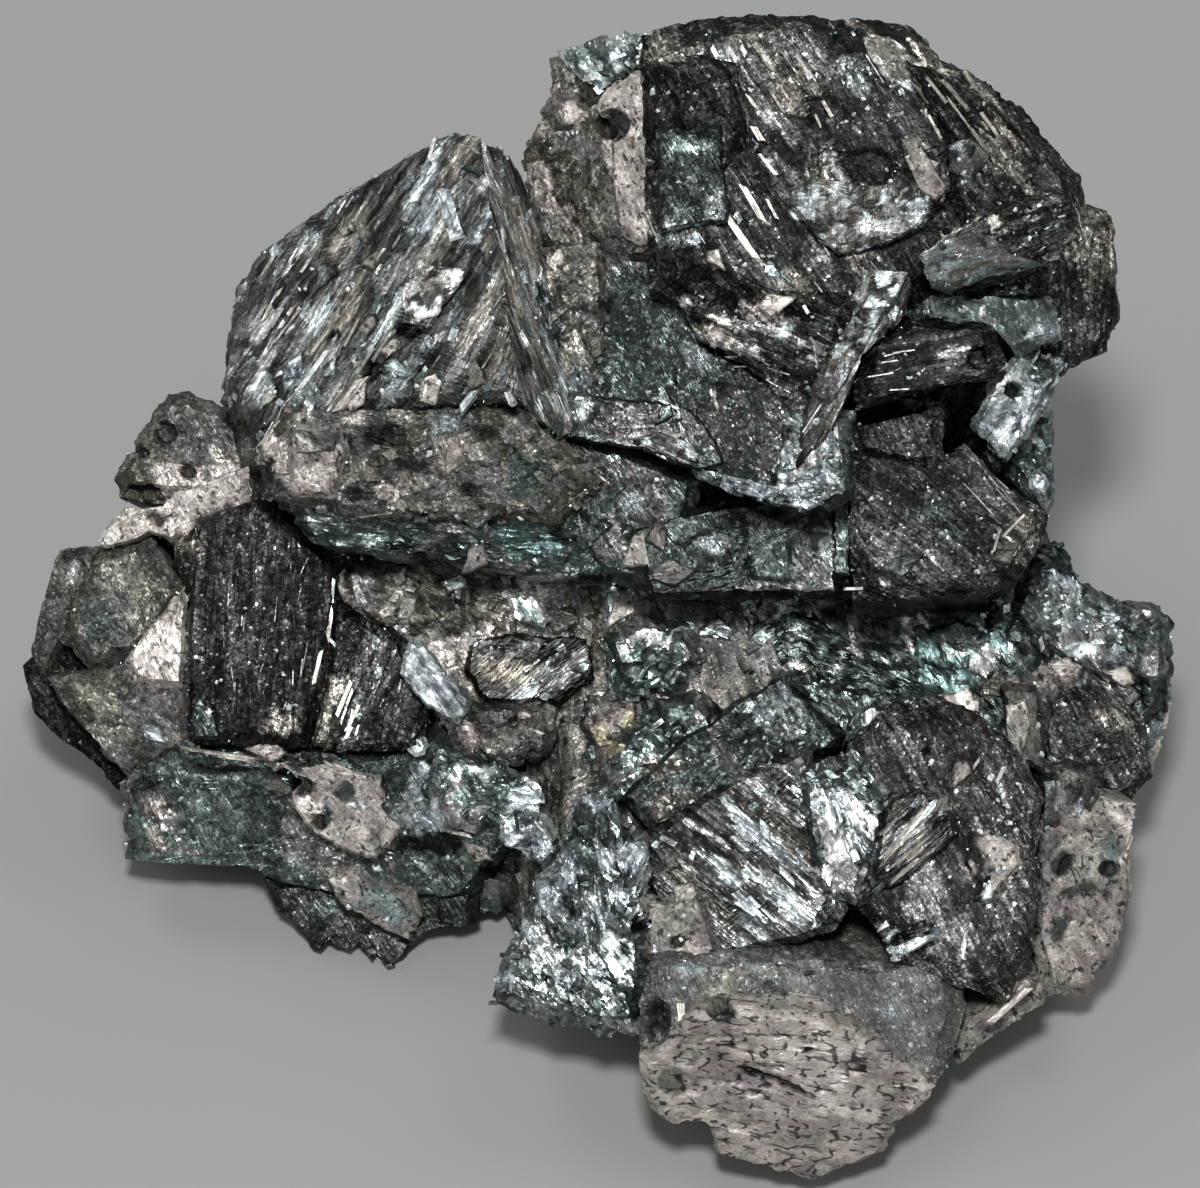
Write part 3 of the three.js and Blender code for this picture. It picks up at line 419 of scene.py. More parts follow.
MIDDLE_BAND = (
    crystal((-27, 5.5, -15, 5.5, 0, 4, 1, -2.5, 0, -10.5, -4, -16, -16, -16, -18, -9.5, -20, -4.5,
        -26, -0.5), -4, (0.1, 0), "earth", 1.7, deep=20),
    crystal((0, 5, 25, 5, 41, 4, 44, -4.5, 44, -16.5, 33, -12, 25, -12, 18, -10, 10, -13, 4, -17, -2, -17,
        -0.5, -10.5), -2, (0, -0.1), "druse", 1.5, bevel=1, deep=22),
    crystal((-9.5, 0, -6.5, -0.5, -5, -2.5, -6, -3, -8.5, -2.5), -1, (0, 0), "frost", 7, bevel=0.4, deep=6),
    crystal((0, -4.5, 4, -2.5, 9, -3, 10.5, -6.5, 8, -10, 2, -10.5), 1, (0, 0), "druse", 2.3, deep=8),
    crystal((-13, -4.5, -7, -4, -1, -4.5, 0, -8.5, -4, -11, -12, -10.5, -13.5, -7.5), -2.2, (0, -0.1),
        "striated", 0.3, grain=40, bevel=0.5, deep=8),
    crystal((-1.5, -10.5, 4, -10, 4.5, -14.5, 0, -16, -2, -13.5), -0.5, (0, 0), "earth", 0.7, bevel=1,
        deep=8),
    crystal((-17, -10.5, -10, -11, -4.5, -11.5, -4.5, -15.5, -8, -17, -14, -16.5), -1, (0, 0), "earth", 0.7,
        deep=8),
    crystal((4.5, -11.5, 10, -9.5, 13, -12.5, 10, -19.5, 4, -23.5, 0, -20, 0, -16.5), 4, (0.2, -0.1),
        "druse", 1.75, deep=14),
)

LOWER_CRYSTAL = (
    crystal((18.5, -8, 24.5, -14, 20, -17, 12, -20.5, 5, -23.5, 2, -20.5, 8, -14.5, 14, -10.5), 7,
        (0.1, -0.35), "slate", 0.7, bevel=0.8, deep=16),
    crystal((18.5, -8, 26, -9.5, 29, -11, 25, -15.5, 24, -14), 6.5, (0, -0.3), "druse", 2.8, bevel=0.8,
        deep=14),
    crystal((4, -24, 14, -17.5, 20.5, -15, 22.5, -20.5, 25, -29.5, 23, -33, 20, -34, 14, -35.5, 9, -36.5,
        5, -30.5, 3.5, -25.5), 12, (0.25, -0.15), "striated", 0.57, grain=-38, bevel=1, deep=20),
    crystal((20, -17.5, 25, -15.5, 28.5, -19.5, 27, -25.5, 25, -30.5, 22, -29.5, 20.5, -23.5), 15.5,
        (0, -0.05), "frost", 0.5, bevel=1, deep=20),
    crystal((25, -15.5, 28.5, -11.5, 33.5, -10.5, 38.5, -12.5, 42.5, -17, 44, -20.5, 43.5, -28.5, 43, -35.5,
        40.5, -40.5, 36, -39, 30, -36.5, 25, -30.5), 13, (-0.2, -0.15), "mirror", 1.9, bevel=2, deep=24,
        into=(-2, 3)),
    crystal((26, -30.5, 28.5, -19.5, 34, -19.5, 35.5, -23.5, 30, -28.5), 15.5, (-0.1, 0), "striated", 0.43,
        grain=42, bevel=0.8, deep=10),
    crystal((36.5, -23.5, 41, -24.5, 41.5, -26.5, 38.5, -30.5, 36, -26.5), 13.5, (-0.3, 0), "cleaved", 1.55,
        bevel=0.5, deep=8),
    crystal((28, -34, 32, -32, 33, -33.5, 29, -36), 17, (0, 0), "frost", 1.9, grain=25, bevel=0.3, deep=8),
    crystal((4, -30, 10, -29.5, 12, -35.5, 9, -37, 4, -36), 13.5, (0, 0), "cleaved", 0.55, grain=-60,
        bevel=1, deep=14),
)

BOTTOM_CRYSTAL = (
    crystal((5.5, -36, 9, -36, 25, -35, 35.5, -36.5, 36, -41.5, 34.5, -47, 33, -49, 28, -46, 22, -43,
        14, -42, 9, -42.5, 4, -45.5, 4, -40.5), 15, (-0.1, -0.1), "graphite", 0.9, deep=18, into=(0, 6)),
    crystal((4, -46, 9, -41.5, 14, -41, 22, -41.5, 28, -45, 33, -49, 31.5, -51, 28.5, -53.5, 28, -55.5,
        25, -56.5, 21, -58.5, 17, -57, 13.5, -56, 11.5, -55.5, 11, -53, 9.5, -52, 6.5, -52, 5, -51, 4, -49),
        16.5, (-0.05, 0.3), "cracked", grain=-8, bevel=0.8, deep=12, into=(0, 7), narrow=0.8),
)

RIGHT_LOBE = (
    crystal((40, -1, 43, 4, 44.5, 5, 46.5, 5, 49, 1, 53, -1, 56.5, -1.5, 58, -3, 58, -6.5, 58, -10.5,
        56, -15, 50, -14.5, 45, -9.5, 41, -4.5), -3, (-0.1, 0), "druse", 1.2, bevel=2, deep=15,
        into=(-3, 0)),
    crystal((54.5, -10.5, 58, -10.5, 57, -14.5, 55.5, -19, 53.5, -18, 53.5, -14), -6, (-0.2, 0), "cleaved",
        0.7, bevel=0.8, deep=11, into=(-4, 2)),
    crystal((44, -9.5, 50, -9.5, 55, -12.5, 55.5, -18.5, 53, -21, 46, -19.5, 43.5, -16.5), -1, (0, 0),
        "mirror", 2.1, deep=14, into=(-3, 2)),
    crystal((43.5, -24, 46, -21, 50, -21, 54, -21.5, 53, -26.5, 53.5, -30.5, 52.5, -34.5, 51, -37.5,
        49, -40.5, 44.5, -40.5, 43, -35.5, 43, -28.5), 5, (-0.15, 0.1), "cleaved", 0.87, deep=14,
        into=(-4, 5)),
    crystal((44.5, -17.5, 49, -17.5, 50, -22.5, 44, -25), 5, (-0.2, 0), "earth", 0.5, bevel=1, deep=12,
        into=(-3, 2)),
    crystal((34, -44, 40, -39, 43.5, -38, 44.5, -40.5, 41, -42.5, 37, -45.5, 35.5, -47), 9, (-0.2, 0.1),
        "cleaved", 0.55, bevel=0.6, deep=12, into=(-2, 6)),
    crystal((40, -9, 43.5, -9, 44.5, -18, 41, -16.5), 5, (0, 0), "cleaved", 0.14, bevel=0.8, deep=14),
)

DISPLAY_GROUPS = {
    "great_crystal": GREAT_CRYSTAL,
    "left_of_great_crystal": LEFT_OF_GREAT_CRYSTAL,
    "right_of_great_crystal": RIGHT_OF_GREAT_CRYSTAL,
    "middle_blocks": MIDDLE_BLOCKS,
    "centre_plate": CENTRE_PLATE,
    "wedge_crystal": WEDGE_CRYSTAL,
    "ledge": LEDGE,
    "left_group": LEFT_GROUP,
    "slab": SLAB,
    "teal_block": TEAL_BLOCK,
    "middle_band": MIDDLE_BAND,
    "lower_crystal": LOWER_CRYSTAL,
    "bottom_crystal": BOTTOM_CRYSTAL,
    "right_lobe": RIGHT_LOBE,
}

# ---- What lies on the crystals, by its place on the display side, from the top of the specimen down

PLATES = (
    # great crystal and its sides
    plate((26, 55, 28.5, 55, 32.2, 52.2, 30.8, 49.5, 28, 51, 26.5, 53), 0.3, "grainy", grain=-57),
    plate((29.5, 44.5, 31, 44.8, 34, 39.8, 33, 38.5, 31, 40, 30, 42.5), 0.35, "tan", 0.6),
    plate((18.5, 38.5, 20.5, 40.8, 24, 40.5, 27, 40, 29.5, 40.8, 31.5, 40, 32.2, 37.5, 31, 36, 28, 34.3,
        23.5, 33.3, 21, 35, 20, 36.5), 0.4, "grainy", 0.5, grain=85),
    chip(11.5, 32.8, 2.5, -55, "tan", 1.8),
    plate((34, 44, 36.5, 45, 38.5, 43, 36.5, 40.5, 34.5, 41.5), 0.25, "grainy", 0.3),
    plate((31.5, 33, 33, 34, 36, 35.5, 38, 35, 40, 33.5, 44, 32.3, 38, 31, 34, 29.5, 32.5, 30), 0.7,
        "slate", 2.1, grain=15),
    chip(-4.7, 32.6, 3.2, 75, "tan", 2.1),
    plate((-2, 53.5, 0.5, 55, 4, 55.3, 3.5, 53.5, 1.5, 51, 0, 51.5), 0.4, "frost", 1.4),
    knob(16.7, 31.8, 0.9, "frost", 2.4),
    # middle blocks
    plate((26.5, 31.8, 30, 31.3, 28.5, 28, 25.5, 28, 24.8, 29), 0.6, "grainy", 0.9, grain=60),
    plate((25.5, 28, 28, 28, 25, 22.5, 22.5, 18.5, 20.5, 19.5, 22.5, 24), 0.4, "grainy", 0.38, grain=60),
    plate((21.2, 9.8, 24.7, 9.6, 24.7, 1.9, 21.8, 2.2), 0.5, "slate", 1.35),
    chip(30.2, 3, 3.8, 20, "plate", 0.33), chip(40.2, 3.9, 3.2, 30, "tan", 0.75),
    chip(17.5, 28.4, 3.8, 10, "tan", 1.8, 1.4), knob(43.5, 11, 1.1, "plate", 2.1),
    knob(11.5, 25.3, 1.0, "tan", 0.9),
    # centre plate
    plate((3, 15.3, 6, 13.8, 9.8, 12.9, 8.8, 15, 5.5, 16), 0.3, "grainy", 0.45),
    plate((9.6, 11.9, 13, 10, 20.5, 8.3, 24, 10, 20, 10.3, 14, 11), 0.4, "frost", 1.35, grain=-10),
    plate((18, 17.5, 21.5, 17.8, 23.5, 14, 24, 10.3, 20, 9.4, 17.5, 10, 17.8, 14), 0.4, "glitter", 0.75),
    chip(6.3, 17.6, 2.5, 60, "slate"),
    # wedge
    plate((-16.3, 40, -14.9, 40, -13.3, 35.2, -14.8, 34.8), 0.3, "plate", 1.25, grain=60),
    plate((-19.5, 31, -18, 32.5, -14, 32, -13, 31.7, -16, 27.5, -18, 26.8, -19.7, 28.3), 0.7, "grainy", 1.9,
        grain=60),
    chip(-25.2, 36.1, 2, 30, "tan", 1.3), chip(-24.1, 19.8, 3.4, 60, "tan", 1.7),
    chip(-16.7, 20, 3.2, 75, "tan", 2.1), chip(-20.7, 24.2, 2.6, 40, "tan", 1.3),
    chip(-12.1, 21.5, 3.4, 80, "tan", 0.6), chip(-32.5, 15.1, 2.8, 60, "tan", 2.3),
    chip(-28.6, 19.4, 2.6, 65, "frost", 1.2), chip(-20.4, 21.8, 3.2, -20, "frost", 3.6),
    chip(-30.5, 22.5, 2.8, 50, "frost", 1.2), chip(-33, 19.5, 2.4, 45, "tan", 1.6),
    chip(-26.5, 22.5, 2.6, 57, "plate", 0.85), chip(-23, 26.5, 2.2, 50, "tan"),
    chip(-17.5, 24.5, 2.4, 60, "frost", 0.65), chip(-27.5, 31.5, 3.2, 57, "plate", 0.35),
    chip(-18.8, 37.5, 2.8, 57, "plate", 0.55), chip(-22.5, 33, 2.2, 40, "tan"),
    # ledge
    plate((-30, 14, -30.3, 16.3, -26, 16, -26.3, 14), 0.5, "cleaved", 0.5),
    chip(-14.4, 13.4, 3.6, 80, "tan", 1.6), chip(-11.7, 7.5, 3, 10, "plate", 0.8),
    plate((2.2, 2.7, 3.2, 5.6, 4.3, 6.4, 5, 2.7), 0.8, "tan"),
    chip(5.6, 5.8, 3.6, 100, "tan", 0.4, 1.0),
    # left group
    plate((-40.5, -10.5, -39.7, -10, -38.6, -12.5, -38.2, -14.4, -40.5, -14.5, -41, -12.5), 0.5, "slate",
        0.75),
    chip(-44.9, -14.1, 2.8, -30, "plate", 1.2), chip(-19.9, 1.8, 2.2, 70, "tan", 1.2),
    chip(-21.4, -1.6, 2.1, 30, "tan", 1.4), chip(-19.4, -1.3, 3, 60, "tan"),
    # slab
    chip(-33.6, -15.7, 4, 0, "cleaved"), chip(-32.7, -17.2, 1.8, -20, "cleaved"),
    chip(-32.2, -19.3, 3.6, -10, "cleaved", 0.3), chip(-12.5, -25.9, 3.4, -30, "tan", 0.8),
    chip(-7.3, -20.4, 4.2, -10, "plate", 1.7), knob(-18.3, -15.2, 1.1, "plate", 2.3),
    # middle band
    chip(-12.5, 3.3, 3.6, 60, "tan", 0.6), chip(-14.7, 1, 3, 20, "plate", 0.85),
    chip(7.3, 2.1, 4.4, 5, "tan", 0.25, 1.0), chip(2.1, -1.7, 4.2, 60, "tan", 1.7),
    chip(11.9, -3.7, 4.2, -5, "frost", 1.8), chip(-2, -7.5, 2.2, 20, "plate", 0.7),
    chip(-3.6, -2.8, 4, -10, "earth", 1.3),
    # lower crystal
    chip(8.1, -30.2, 4.2, 70, "tan"), chip(7.2, -26.6, 2, -30, "tan"),
    plate((22.5, -29.5, 24.4, -30.9, 23.7, -32.3, 20.8, -33), 0.7, "mirror", 1.4),
    chip(38.1, -29.2, 3.4, 60, "plate", 1.9),
    plate((33.5, -10, 36.5, -9.3, 37.6, -10.8, 37.3, -12.4, 34.8, -12.2), 0.6, "cleaved", 1.7),
    chip(35.7, -17.7, 3.2, 70, "tan", 0.65), chip(33.7, -20.9, 2.6, 50, "tan", 0.6),
    # right lobe
    plate((40.3, -11, 42.3, -10.5, 42.8, -13, 41.5, -17.5, 40.5, -17), 0.6, "tan", 1.3),
    plate((44.2, -18.7, 47.8, -18.3, 48.2, -22.5, 44, -23.6), 0.6, "grainy", 0.33),
    chip(46.4, -7.5, 3.2, -5, "cleaved", 1.2), chip(52, -8, 3.6, -15, "cleaved"),
)

# Patches of tone: u, v, half sizes, angle, brightness, and the hue where it isn't grey. The darkest, of
# brightness 0.012 or less, are painted shade in gaps, crevices, a hollow and under a rim, and the pale
# frost patches are partly the crystals' own bright faces and partly painted glints.
TONE_SHADE_AND_GLINT_MARKS = (
    # great crystal and its sides
    (26.5, 42.6, 5, 3, -20, 0.012), (25.5, 46.7, 4.5, 2.6, -35, 0.02), (15.5, 40.5, 4.5, 2.4, -60, 0.015),
    (18, 34.8, 4.5, 2.4, -10, 0.015), (8, 32.5, 3, 1.5, -20, 0.015), (44, 41, 4, 1.8, -52, 0.02),
    (37, 48.5, 4, 0.9, -52, 0.02), (27, 50, 3.5, 0.9, -57, 0.03), (21.5, 41, 2, 0.8, -57, 0.12, SAND),
    (28.5, 53, 3, 0.9, -57, 0.12, SAND), (6.7, 53.5, 2.3, 1.5, 0, 0.14, SAND),
    (8.5, 43.8, 3, 0.8, 0, 0.15, TEAL), (16.3, 48.7, 5, 1.5, -57, 0.07), (17, 47.5, 1.6, 1.2, 0, 0.15),
    (24.8, 51.5, 2, 1.4, -57, 0.15, FROST), (20.2, 38.2, 1.2, 1.2, -60, 0.5, FROST),
    (27, 36, 2.4, 0.9, 0, 0.45), (31.3, 37.3, 0.9, 1.4, 0, 0.5, FROST), (4, 36.3, 1, 1.2, 0, 0.6, SAND),
    (7.5, 35.3, 2, 1, 0, 0.3, FROST), (40, 38.5, 6, 2.2, 0, 0.018), (20, 53.3, 4.5, 1.6, -20, 0.07),
    (12.5, 49, 3, 1, -60, 0.02), (49, 35, 2.4, 4.5, 0, 0.11, SAND), (40.5, 28, 2.5, 2, 0, 0.12, TEAL),
    (44, 26, 1.8, 1.4, 0, 0.5, FROST), (36, 31.8, 3, 0.8, 15, 0.12, SAND),
    (41.5, 31.2, 3.4, 0.45, 17, 0.008), (2.2, 49, 1.2, 2, 0, 0.4, BLUSH),
    (1, 44.5, 0.8, 2.5, 10, 0.35, BLUSH), (-2.5, 47.5, 1.6, 1.4, 0, 0.4, BLUSH),
    (-5.5, 36.7, 0.8, 1, 0, 0.3, FROST), (-3.3, 37.5, 0.8, 0.8, 0, 0.3, BLUSH),
    # middle blocks
    (34.5, 23.5, 1.7, 0.5, 8, 0.3), (16.5, 27.2, 3, 1.5, -30, 0.3, BLUSH),
    (18, 26, 1.2, 1.1, 0, 0.4, FROST), (8.4, 28.8, 0.5, 0.5, 0, 0.6),
    (41.3, 22.3, 1.4, 1.2, 50, 0.6, FROST), (32.5, 7.8, 1.7, 1.1, 0, 0.07, TEAL),
    (34, 5.8, 1.3, 0.9, 0, 0.09, TEAL), (41.3, 5.5, 2.2, 2, 0, 0.09, SAND),
    (17, 24.5, 3.5, 1, -25, 0.03), (19, 22.5, 1.5, 2, 0, 0.02),
    # centre plate and below
    (-3, 20, 2.2, 3, 0, 0.2, FROST), (-5, 26, 1.3, 3, 0, 0.14, FROST),
    # the long dark patch at 15, 7.4 is a painted shadow under the centre plate's rim
    (9.5, 23.5, 1, 1.4, 40, 0.17, FROST), (15, 7.4, 7, 1.1, -3, 0.008), (1, 14, 2, 1.2, 0, 0.18, FROST),
    (3, 8.8, 1.5, 1.2, 0, 0.25, FROST), (12, 16, 4, 2.5, 0, 0.05), (11, 5, 1.3, 1, 0, 0.2, FROST),
    (22.5, 4, 1, 1.6, 0, 0.25, FROST),
    # wedge
    (-22, 22.8, 1.8, 1.2, 20, 0.02), (-19, 26, 2, 1, 10, 0.03), (-26, 33, 3, 0.7, 57, 0.04),
    (-31.5, 30.5, 3, 0.8, 57, 0.05), (-23, 29.5, 3, 0.8, 57, 0.04),
    (-17.3, 37.5, 1.8, 1.1, 57, 0.45, FROST), (-33.5, 20.5, 2.4, 0.9, 57, 0.45, FROST),
    (-12.5, 30, 1, 1.8, 0, 0.03, OLIVE), (-16.3, 20.5, 1.3, 1, 0, 0.35, BLUSH),
    (-31, 27, 4, 1, 57, 0.06), (-21, 37, 4, 0.9, 57, 0.05, SAND), (-24, 25, 1.6, 0.8, 57, 0.3, FROST),
    (-29, 22, 3, 0.8, 57, 0.3, FROST), (-27.5, 27.5, 2.2, 0.8, 57, 0.5, FROST),
    (-30.5, 21.5, 1.5, 0.7, 57, 0.5, FROST), (-9, 26, 1, 6, 15, 0.09, SAND),
    # ledge
    (-28.4, 11.6, 2.2, 1.6, 0, 0.5, BLUSH), (-27, 15, 1, 1.3, 0, 0.07), (-22, 15.5, 3, 1.1, 10, 0.02),
    (-18, 12.5, 2.6, 0.9, -20, 0.02), (-23.5, 9.8, 2, 0.7, 0, 0.02),
    (-24.5, 17.5, 1.3, 0.7, 20, 0.45, BLUSH), (-20.6, 10.2, 2, 0.6, 0, 0.4, BLUSH),
    (-11.5, 16, 1.6, 0.8, 0, 0.02), (-15.5, 16.8, 1.4, 0.8, 0, 0.35, FROST),
    (-24, 12, 1.5, 1, 0, 0.2, OLIVE), (-19, 11, 1.5, 1, 0, 0.2, OLIVE), (-13, 10.6, 1.3, 0.8, 0, 0.015),
    (-7.5, 12, 3, 2.8, 0, 0.06, TEAL), (-20.5, 8.4, 6, 0.5, 5, 0.22, SAND),
    (-22, 5.5, 3, 0.7, 0, 0.12, TEAL), (-24, 3, 6, 1.1, -3, 0.008), (-33, 12, 1, 2, 0, 0.02),
    # left group
    (-40.5, 10.6, 4.5, 1.7, 0, 0.42, BLUSH), (-38, 12, 1.8, 1.2, 0, 0.42, BLUSH),
    (-42, 12.3, 3, 0.8, 0, 0.3, BLUSH), (-38.7, 14.3, 0.8, 0.8, 0, 0.35, SAND),
    (-36.3, 16, 1, 3.5, 20, 0.02, OLIVE), (-43.5, 20.4, 1.2, 0.6, -20, 0.03),
    (-48.5, 7.6, 2, 1.8, 30, 0.4, SAND), (-49.8, 5.6, 1, 0.7, 0, 0.6), (-44.5, 9, 1.5, 0.4, 10, 0.55),
    (-44.5, 7.5, 1.8, 1, 0, 0.05, OLIVE), (-42.5, 4.8, 2, 1.4, -20, 0.09, OLIVE),
    (-38.5, 7.7, 2.2, 1, 15, 0.02), (-53, 4, 1.8, 0.9, -15, 0.02), (-53.3, 1.9, 0.7, 1.2, 0, 0.34),
    (-51, -2.5, 2.6, 2.4, 0, 0.055, TEAL), (-46.5, 0, 0.8, 2.4, -20, 0.17, OLIVE),
    (-44, -11, 1.6, 1.4, 0, 0.15, BLUSH), (-32, -13, 1.5, 1.2, 0, 0.2, SAND),
    (-50.5, -10.7, 3.2, 1.2, -40, 0.22, OLIVE), (-48, -14, 1, 0.8, 0, 0.3, SAND),
    (-17.5, -10, 1.8, 0.7, -45, 0.8, FROST),
    # slab
    (-37, -17.6, 5, 0.45, -3, 0.01), (-44.6, -21.3, 0.9, 0.9, 0, 0.38, BLUSH),
    (-43.6, -22.7, 1, 1, 0, 0.42, BLUSH), (-44.8, -24.5, 0.8, 1, 0, 0.38, BLUSH),
    (-43, -27, 6, 0.7, -3, 0.22, TEAL), (-37, -27.7, 3, 0.6, -5, 0.22, TEAL),
    (-43, -25.7, 4, 0.3, -8, 0.26, BLUSH), (-17.5, -25, 3.5, 1.1, 0, 0.01),
    (-10, -27.6, 3.5, 0.7, 0, 0.01), (-46, -18.5, 1.5, 1.5, 0, 0.03, TEAL),
    # teal block
    (-6, -29, 0.9, 0.6, -60, 0.85, FROST), (-3, -28, 0.9, 0.6, -60, 0.85, FROST),
    (-7, -33.3, 1, 0.6, -60, 0.85, FROST), (-6, -36, 0.7, 0.5, -60, 0.85, FROST),
    (-4, -35.5, 0.7, 0.5, -60, 0.85, FROST), (1, -34, 0.9, 0.6, -60, 0.9, FROST),
    (1.5, -36.7, 0.8, 0.5, -60, 0.9, FROST), (2.8, -25.7, 1.3, 1, -60, 0.85, FROST),
    (0.5, -26.5, 1.2, 1, -60, 0.8, FROST), (0.5, -41.6, 0.7, 0.4, -60, 0.85, FROST),
    (-9, -38, 0.7, 0.5, -60, 0.85, FROST), (-2.5, -36, 2, 0.7, -60, 0.35, FROST),
    (-3, -30.5, 1.1, 0.8, -60, 0.03, TEAL), (2.6, -35, 0.9, 0.7, -60, 0.03, TEAL),
    (2, -31, 0.9, 0.8, -60, 0.04, TEAL), (2.5, -40, 1, 0.8, 0, 0.05, TEAL),
    # middle band
    (19.9, -7.2, 1.5, 0.45, -25, 0.6, SAND), (21.3, -7.8, 0.6, 0.5, 0, 0.6, SAND),
    (0, -13.7, 1, 0.7, 0, 0.4, BRASS), (3, -12.9, 0.9, 1.1, 0, 0.45, BRASS),
    (1.2, -15.5, 1.5, 0.7, 0, 0.4, BRASS), (36, -1.2, 4, 1.6, -10, 0.01), (14, 0.3, 9, 0.35, -3, 0.012),
    (-1, 1.6, 2.5, 0.5, 5, 0.01), (-15, -1, 3.5, 0.4, 5, 0.01), (26.5, -8.3, 5, 2.3, 0, 0.07, TEAL),
    (4, -5, 1.5, 0.8, 0, 0.2, FROST), (7, -9, 1.5, 1, 0, 0.14, TEAL),
    (-9.5, -7.5, 3.5, 1.3, -10, 0.1, OLIVE), (15.5, -6.5, 3, 1, 0, 0.02),
    (18.5, -3, 1.5, 0.8, 0, 0.16, TEAL), (36.5, -5.5, 2.2, 0.8, 15, 0.25, TEAL),
    (11.5, -12, 1, 0.7, 0, 0.03, TEAL),
    # lower crystal
    (23.2, -20.6, 2.3, 1.5, 0, 0.75, FROST), (23.3, -26.5, 1.6, 2.6, 0, 0.7),
    (13.5, -21.8, 3, 0.8, -38, 0.5, FROST), (17, -24.8, 3.5, 1, -42, 0.5, FROST),
    (12.5, -27.5, 2.6, 0.8, -42, 0.4, FROST), (19.2, -31, 2.6, 1.1, -48, 0.55, FROST),
    (15, -32.8, 2.2, 0.8, -40, 0.35, FROST), (10, -24, 3, 0.8, -38, 0.03), (18, -27.5, 4, 0.7, -42, 0.03),
    (15.5, -30.2, 3, 0.6, -42, 0.03), (8, -27.5, 2.5, 1, -40, 0.1, SAND),
    (22.5, -18.3, 2.4, 0.8, 0, 0.2, TEAL), (6, -17, 2.2, 1.2, 0, 0.1, SAND),
    (7, -20.5, 3, 1.2, 20, 0.09, SAND), (35.5, -30, 4.5, 1.4, 40, 0.03), (30.5, -33.5, 3, 1, 20, 0.02),
    # bottom crystal
    (15.5, -37, 2.5, 0.8, -10, 0.18, FROST), (11.5, -39, 1.5, 1, 0, 0.14, OLIVE),
    (9, -37, 1.6, 0.8, 0, 0.25, FROST), (7.2, -47.8, 1.6, 2.2, 0, 0.12, SAND),
    (13.5, -37.4, 4, 0.7, 5, 0.16, SAND), (29, -41.5, 1.8, 0.8, -60, 0.13, FROST),
    # right lobe
    (45, -1.5, 2, 3, 0, 0.22, FROST), (48, -2, 1.5, 2, 0, 0.24, FROST),
    (48.3, -5.5, 1.9, 0.7, 10, 0.75, FROST), (54, -4, 3, 1.6, 0, 0.08, TEAL),
    (51, -12.3, 1.8, 1.4, 0, 0.12, SAND), (47.5, -29.6, 2.3, 0.7, 10, 0.06, TEAL),
    (43.8, -30, 0.8, 1.5, 0, 0.07, TEAL), (41.8, -38.6, 1.2, 0.6, 20, 0.6, BLUSH),
    (34, -14, 5, 2, -30, 0.02), (35.5, -25, 2.4, 4, 0, 0.02), (41, -19.5, 1.4, 4, 0, 0.03),
    (28.5, -28.5, 1.2, 2.4, 30, 0.03), (31, -19, 0.9, 2.6, 40, 0.04), (45.8, -26.7, 1.3, 0.9, 50, 0.03),
    (50.8, -26, 1, 2.2, 0, 0.15, TEAL), (47.6, -29.4, 1.9, 0.6, 15, 0.03),
    (45.3, -33.4, 1.5, 1.1, 25, 0.04, TEAL), (43.4, -26, 0.4, 2, 5, 0.05),
    (-30.1, -16.6, 1.3, 1, 20, 0.03), (-27.7, -22.5, 0.6, 1.1, 0, 0.04, TEAL),
    (-25.1, -19.8, 1, 0.9, 0, 0.03, TEAL), (-23, -24.5, 1.2, 0.4, 30, 0.1),
    (-21.5, -31.3, 3.6, 1.6, -35, 0.26, TEAL), (-28, -31.5, 1.6, 1, 0, 0.07, TEAL),
)

# Holes: u, v, half sizes, angle and depth. Each is a real cup, painted nearly black inside as shade.
HOLES = (
    (26.3, 42, 2.5, 1.6, 10, 0.6), (1.2, 46.4, 1.4, 1.4, 0, 1.2), (30.9, 18.7, 6.3, 0.7, 15.6, 1.5),
    (37.4, 23.2, 1.1, 1, 0, 1.6), (40.8, 20.1, 0.8, 0.7, 0, 0.9), (-19, 26, 0.9, 0.6, 0, 0.9),
    (-22.7, 22, 0.7, 0.9, 0, 0.9), (-26.5, 25.5, 0.6, 0.4, 0, 0.6), (-43.8, 16.3, 1, 0.9, -40, 0.8),
    (-46.7, 14.5, 1.2, 0.5, -25, 0.7), (-46.3, 10.3, 1.8, 0.6, 0, 0.9), (-41.5, 12.3, 0.7, 0.6, 0, 0.5),
    (-29.8, -19.3, 1, 0.8, 0, 0.8), (-28.2, -22.9, 0.6, 0.8, 0, 0.6), (-4, -19, 1.8, 2.3, 0, 2.0),
    (4, -32.6, 0.85, 0.75, 0, 0.9), (7.7, -34.3, 0.6, 0.5, 0, 0.6), (11.9, -40.9, 1.1, 0.9, 0, 1.1),
    (5.6, -42, 1.1, 1.9, 0, 1.5), (15.2, -47, 1.9, 0.22, -16, 0.6), (19, -48.5, 2.3, 0.22, -28, 0.6),
    (20.5, -44.8, 0.5, 0.3, 0, 0.4), (13, -44.3, 0.4, 0.3, 0, 0.3), (46.3, -27, 1.1, 0.5, 60, 0.8),
    (50.6, -27.4, 0.9, 0.7, 0, 0.8), (32.2, -15.5, 0.4, 0.3, 0, 0.3),
)

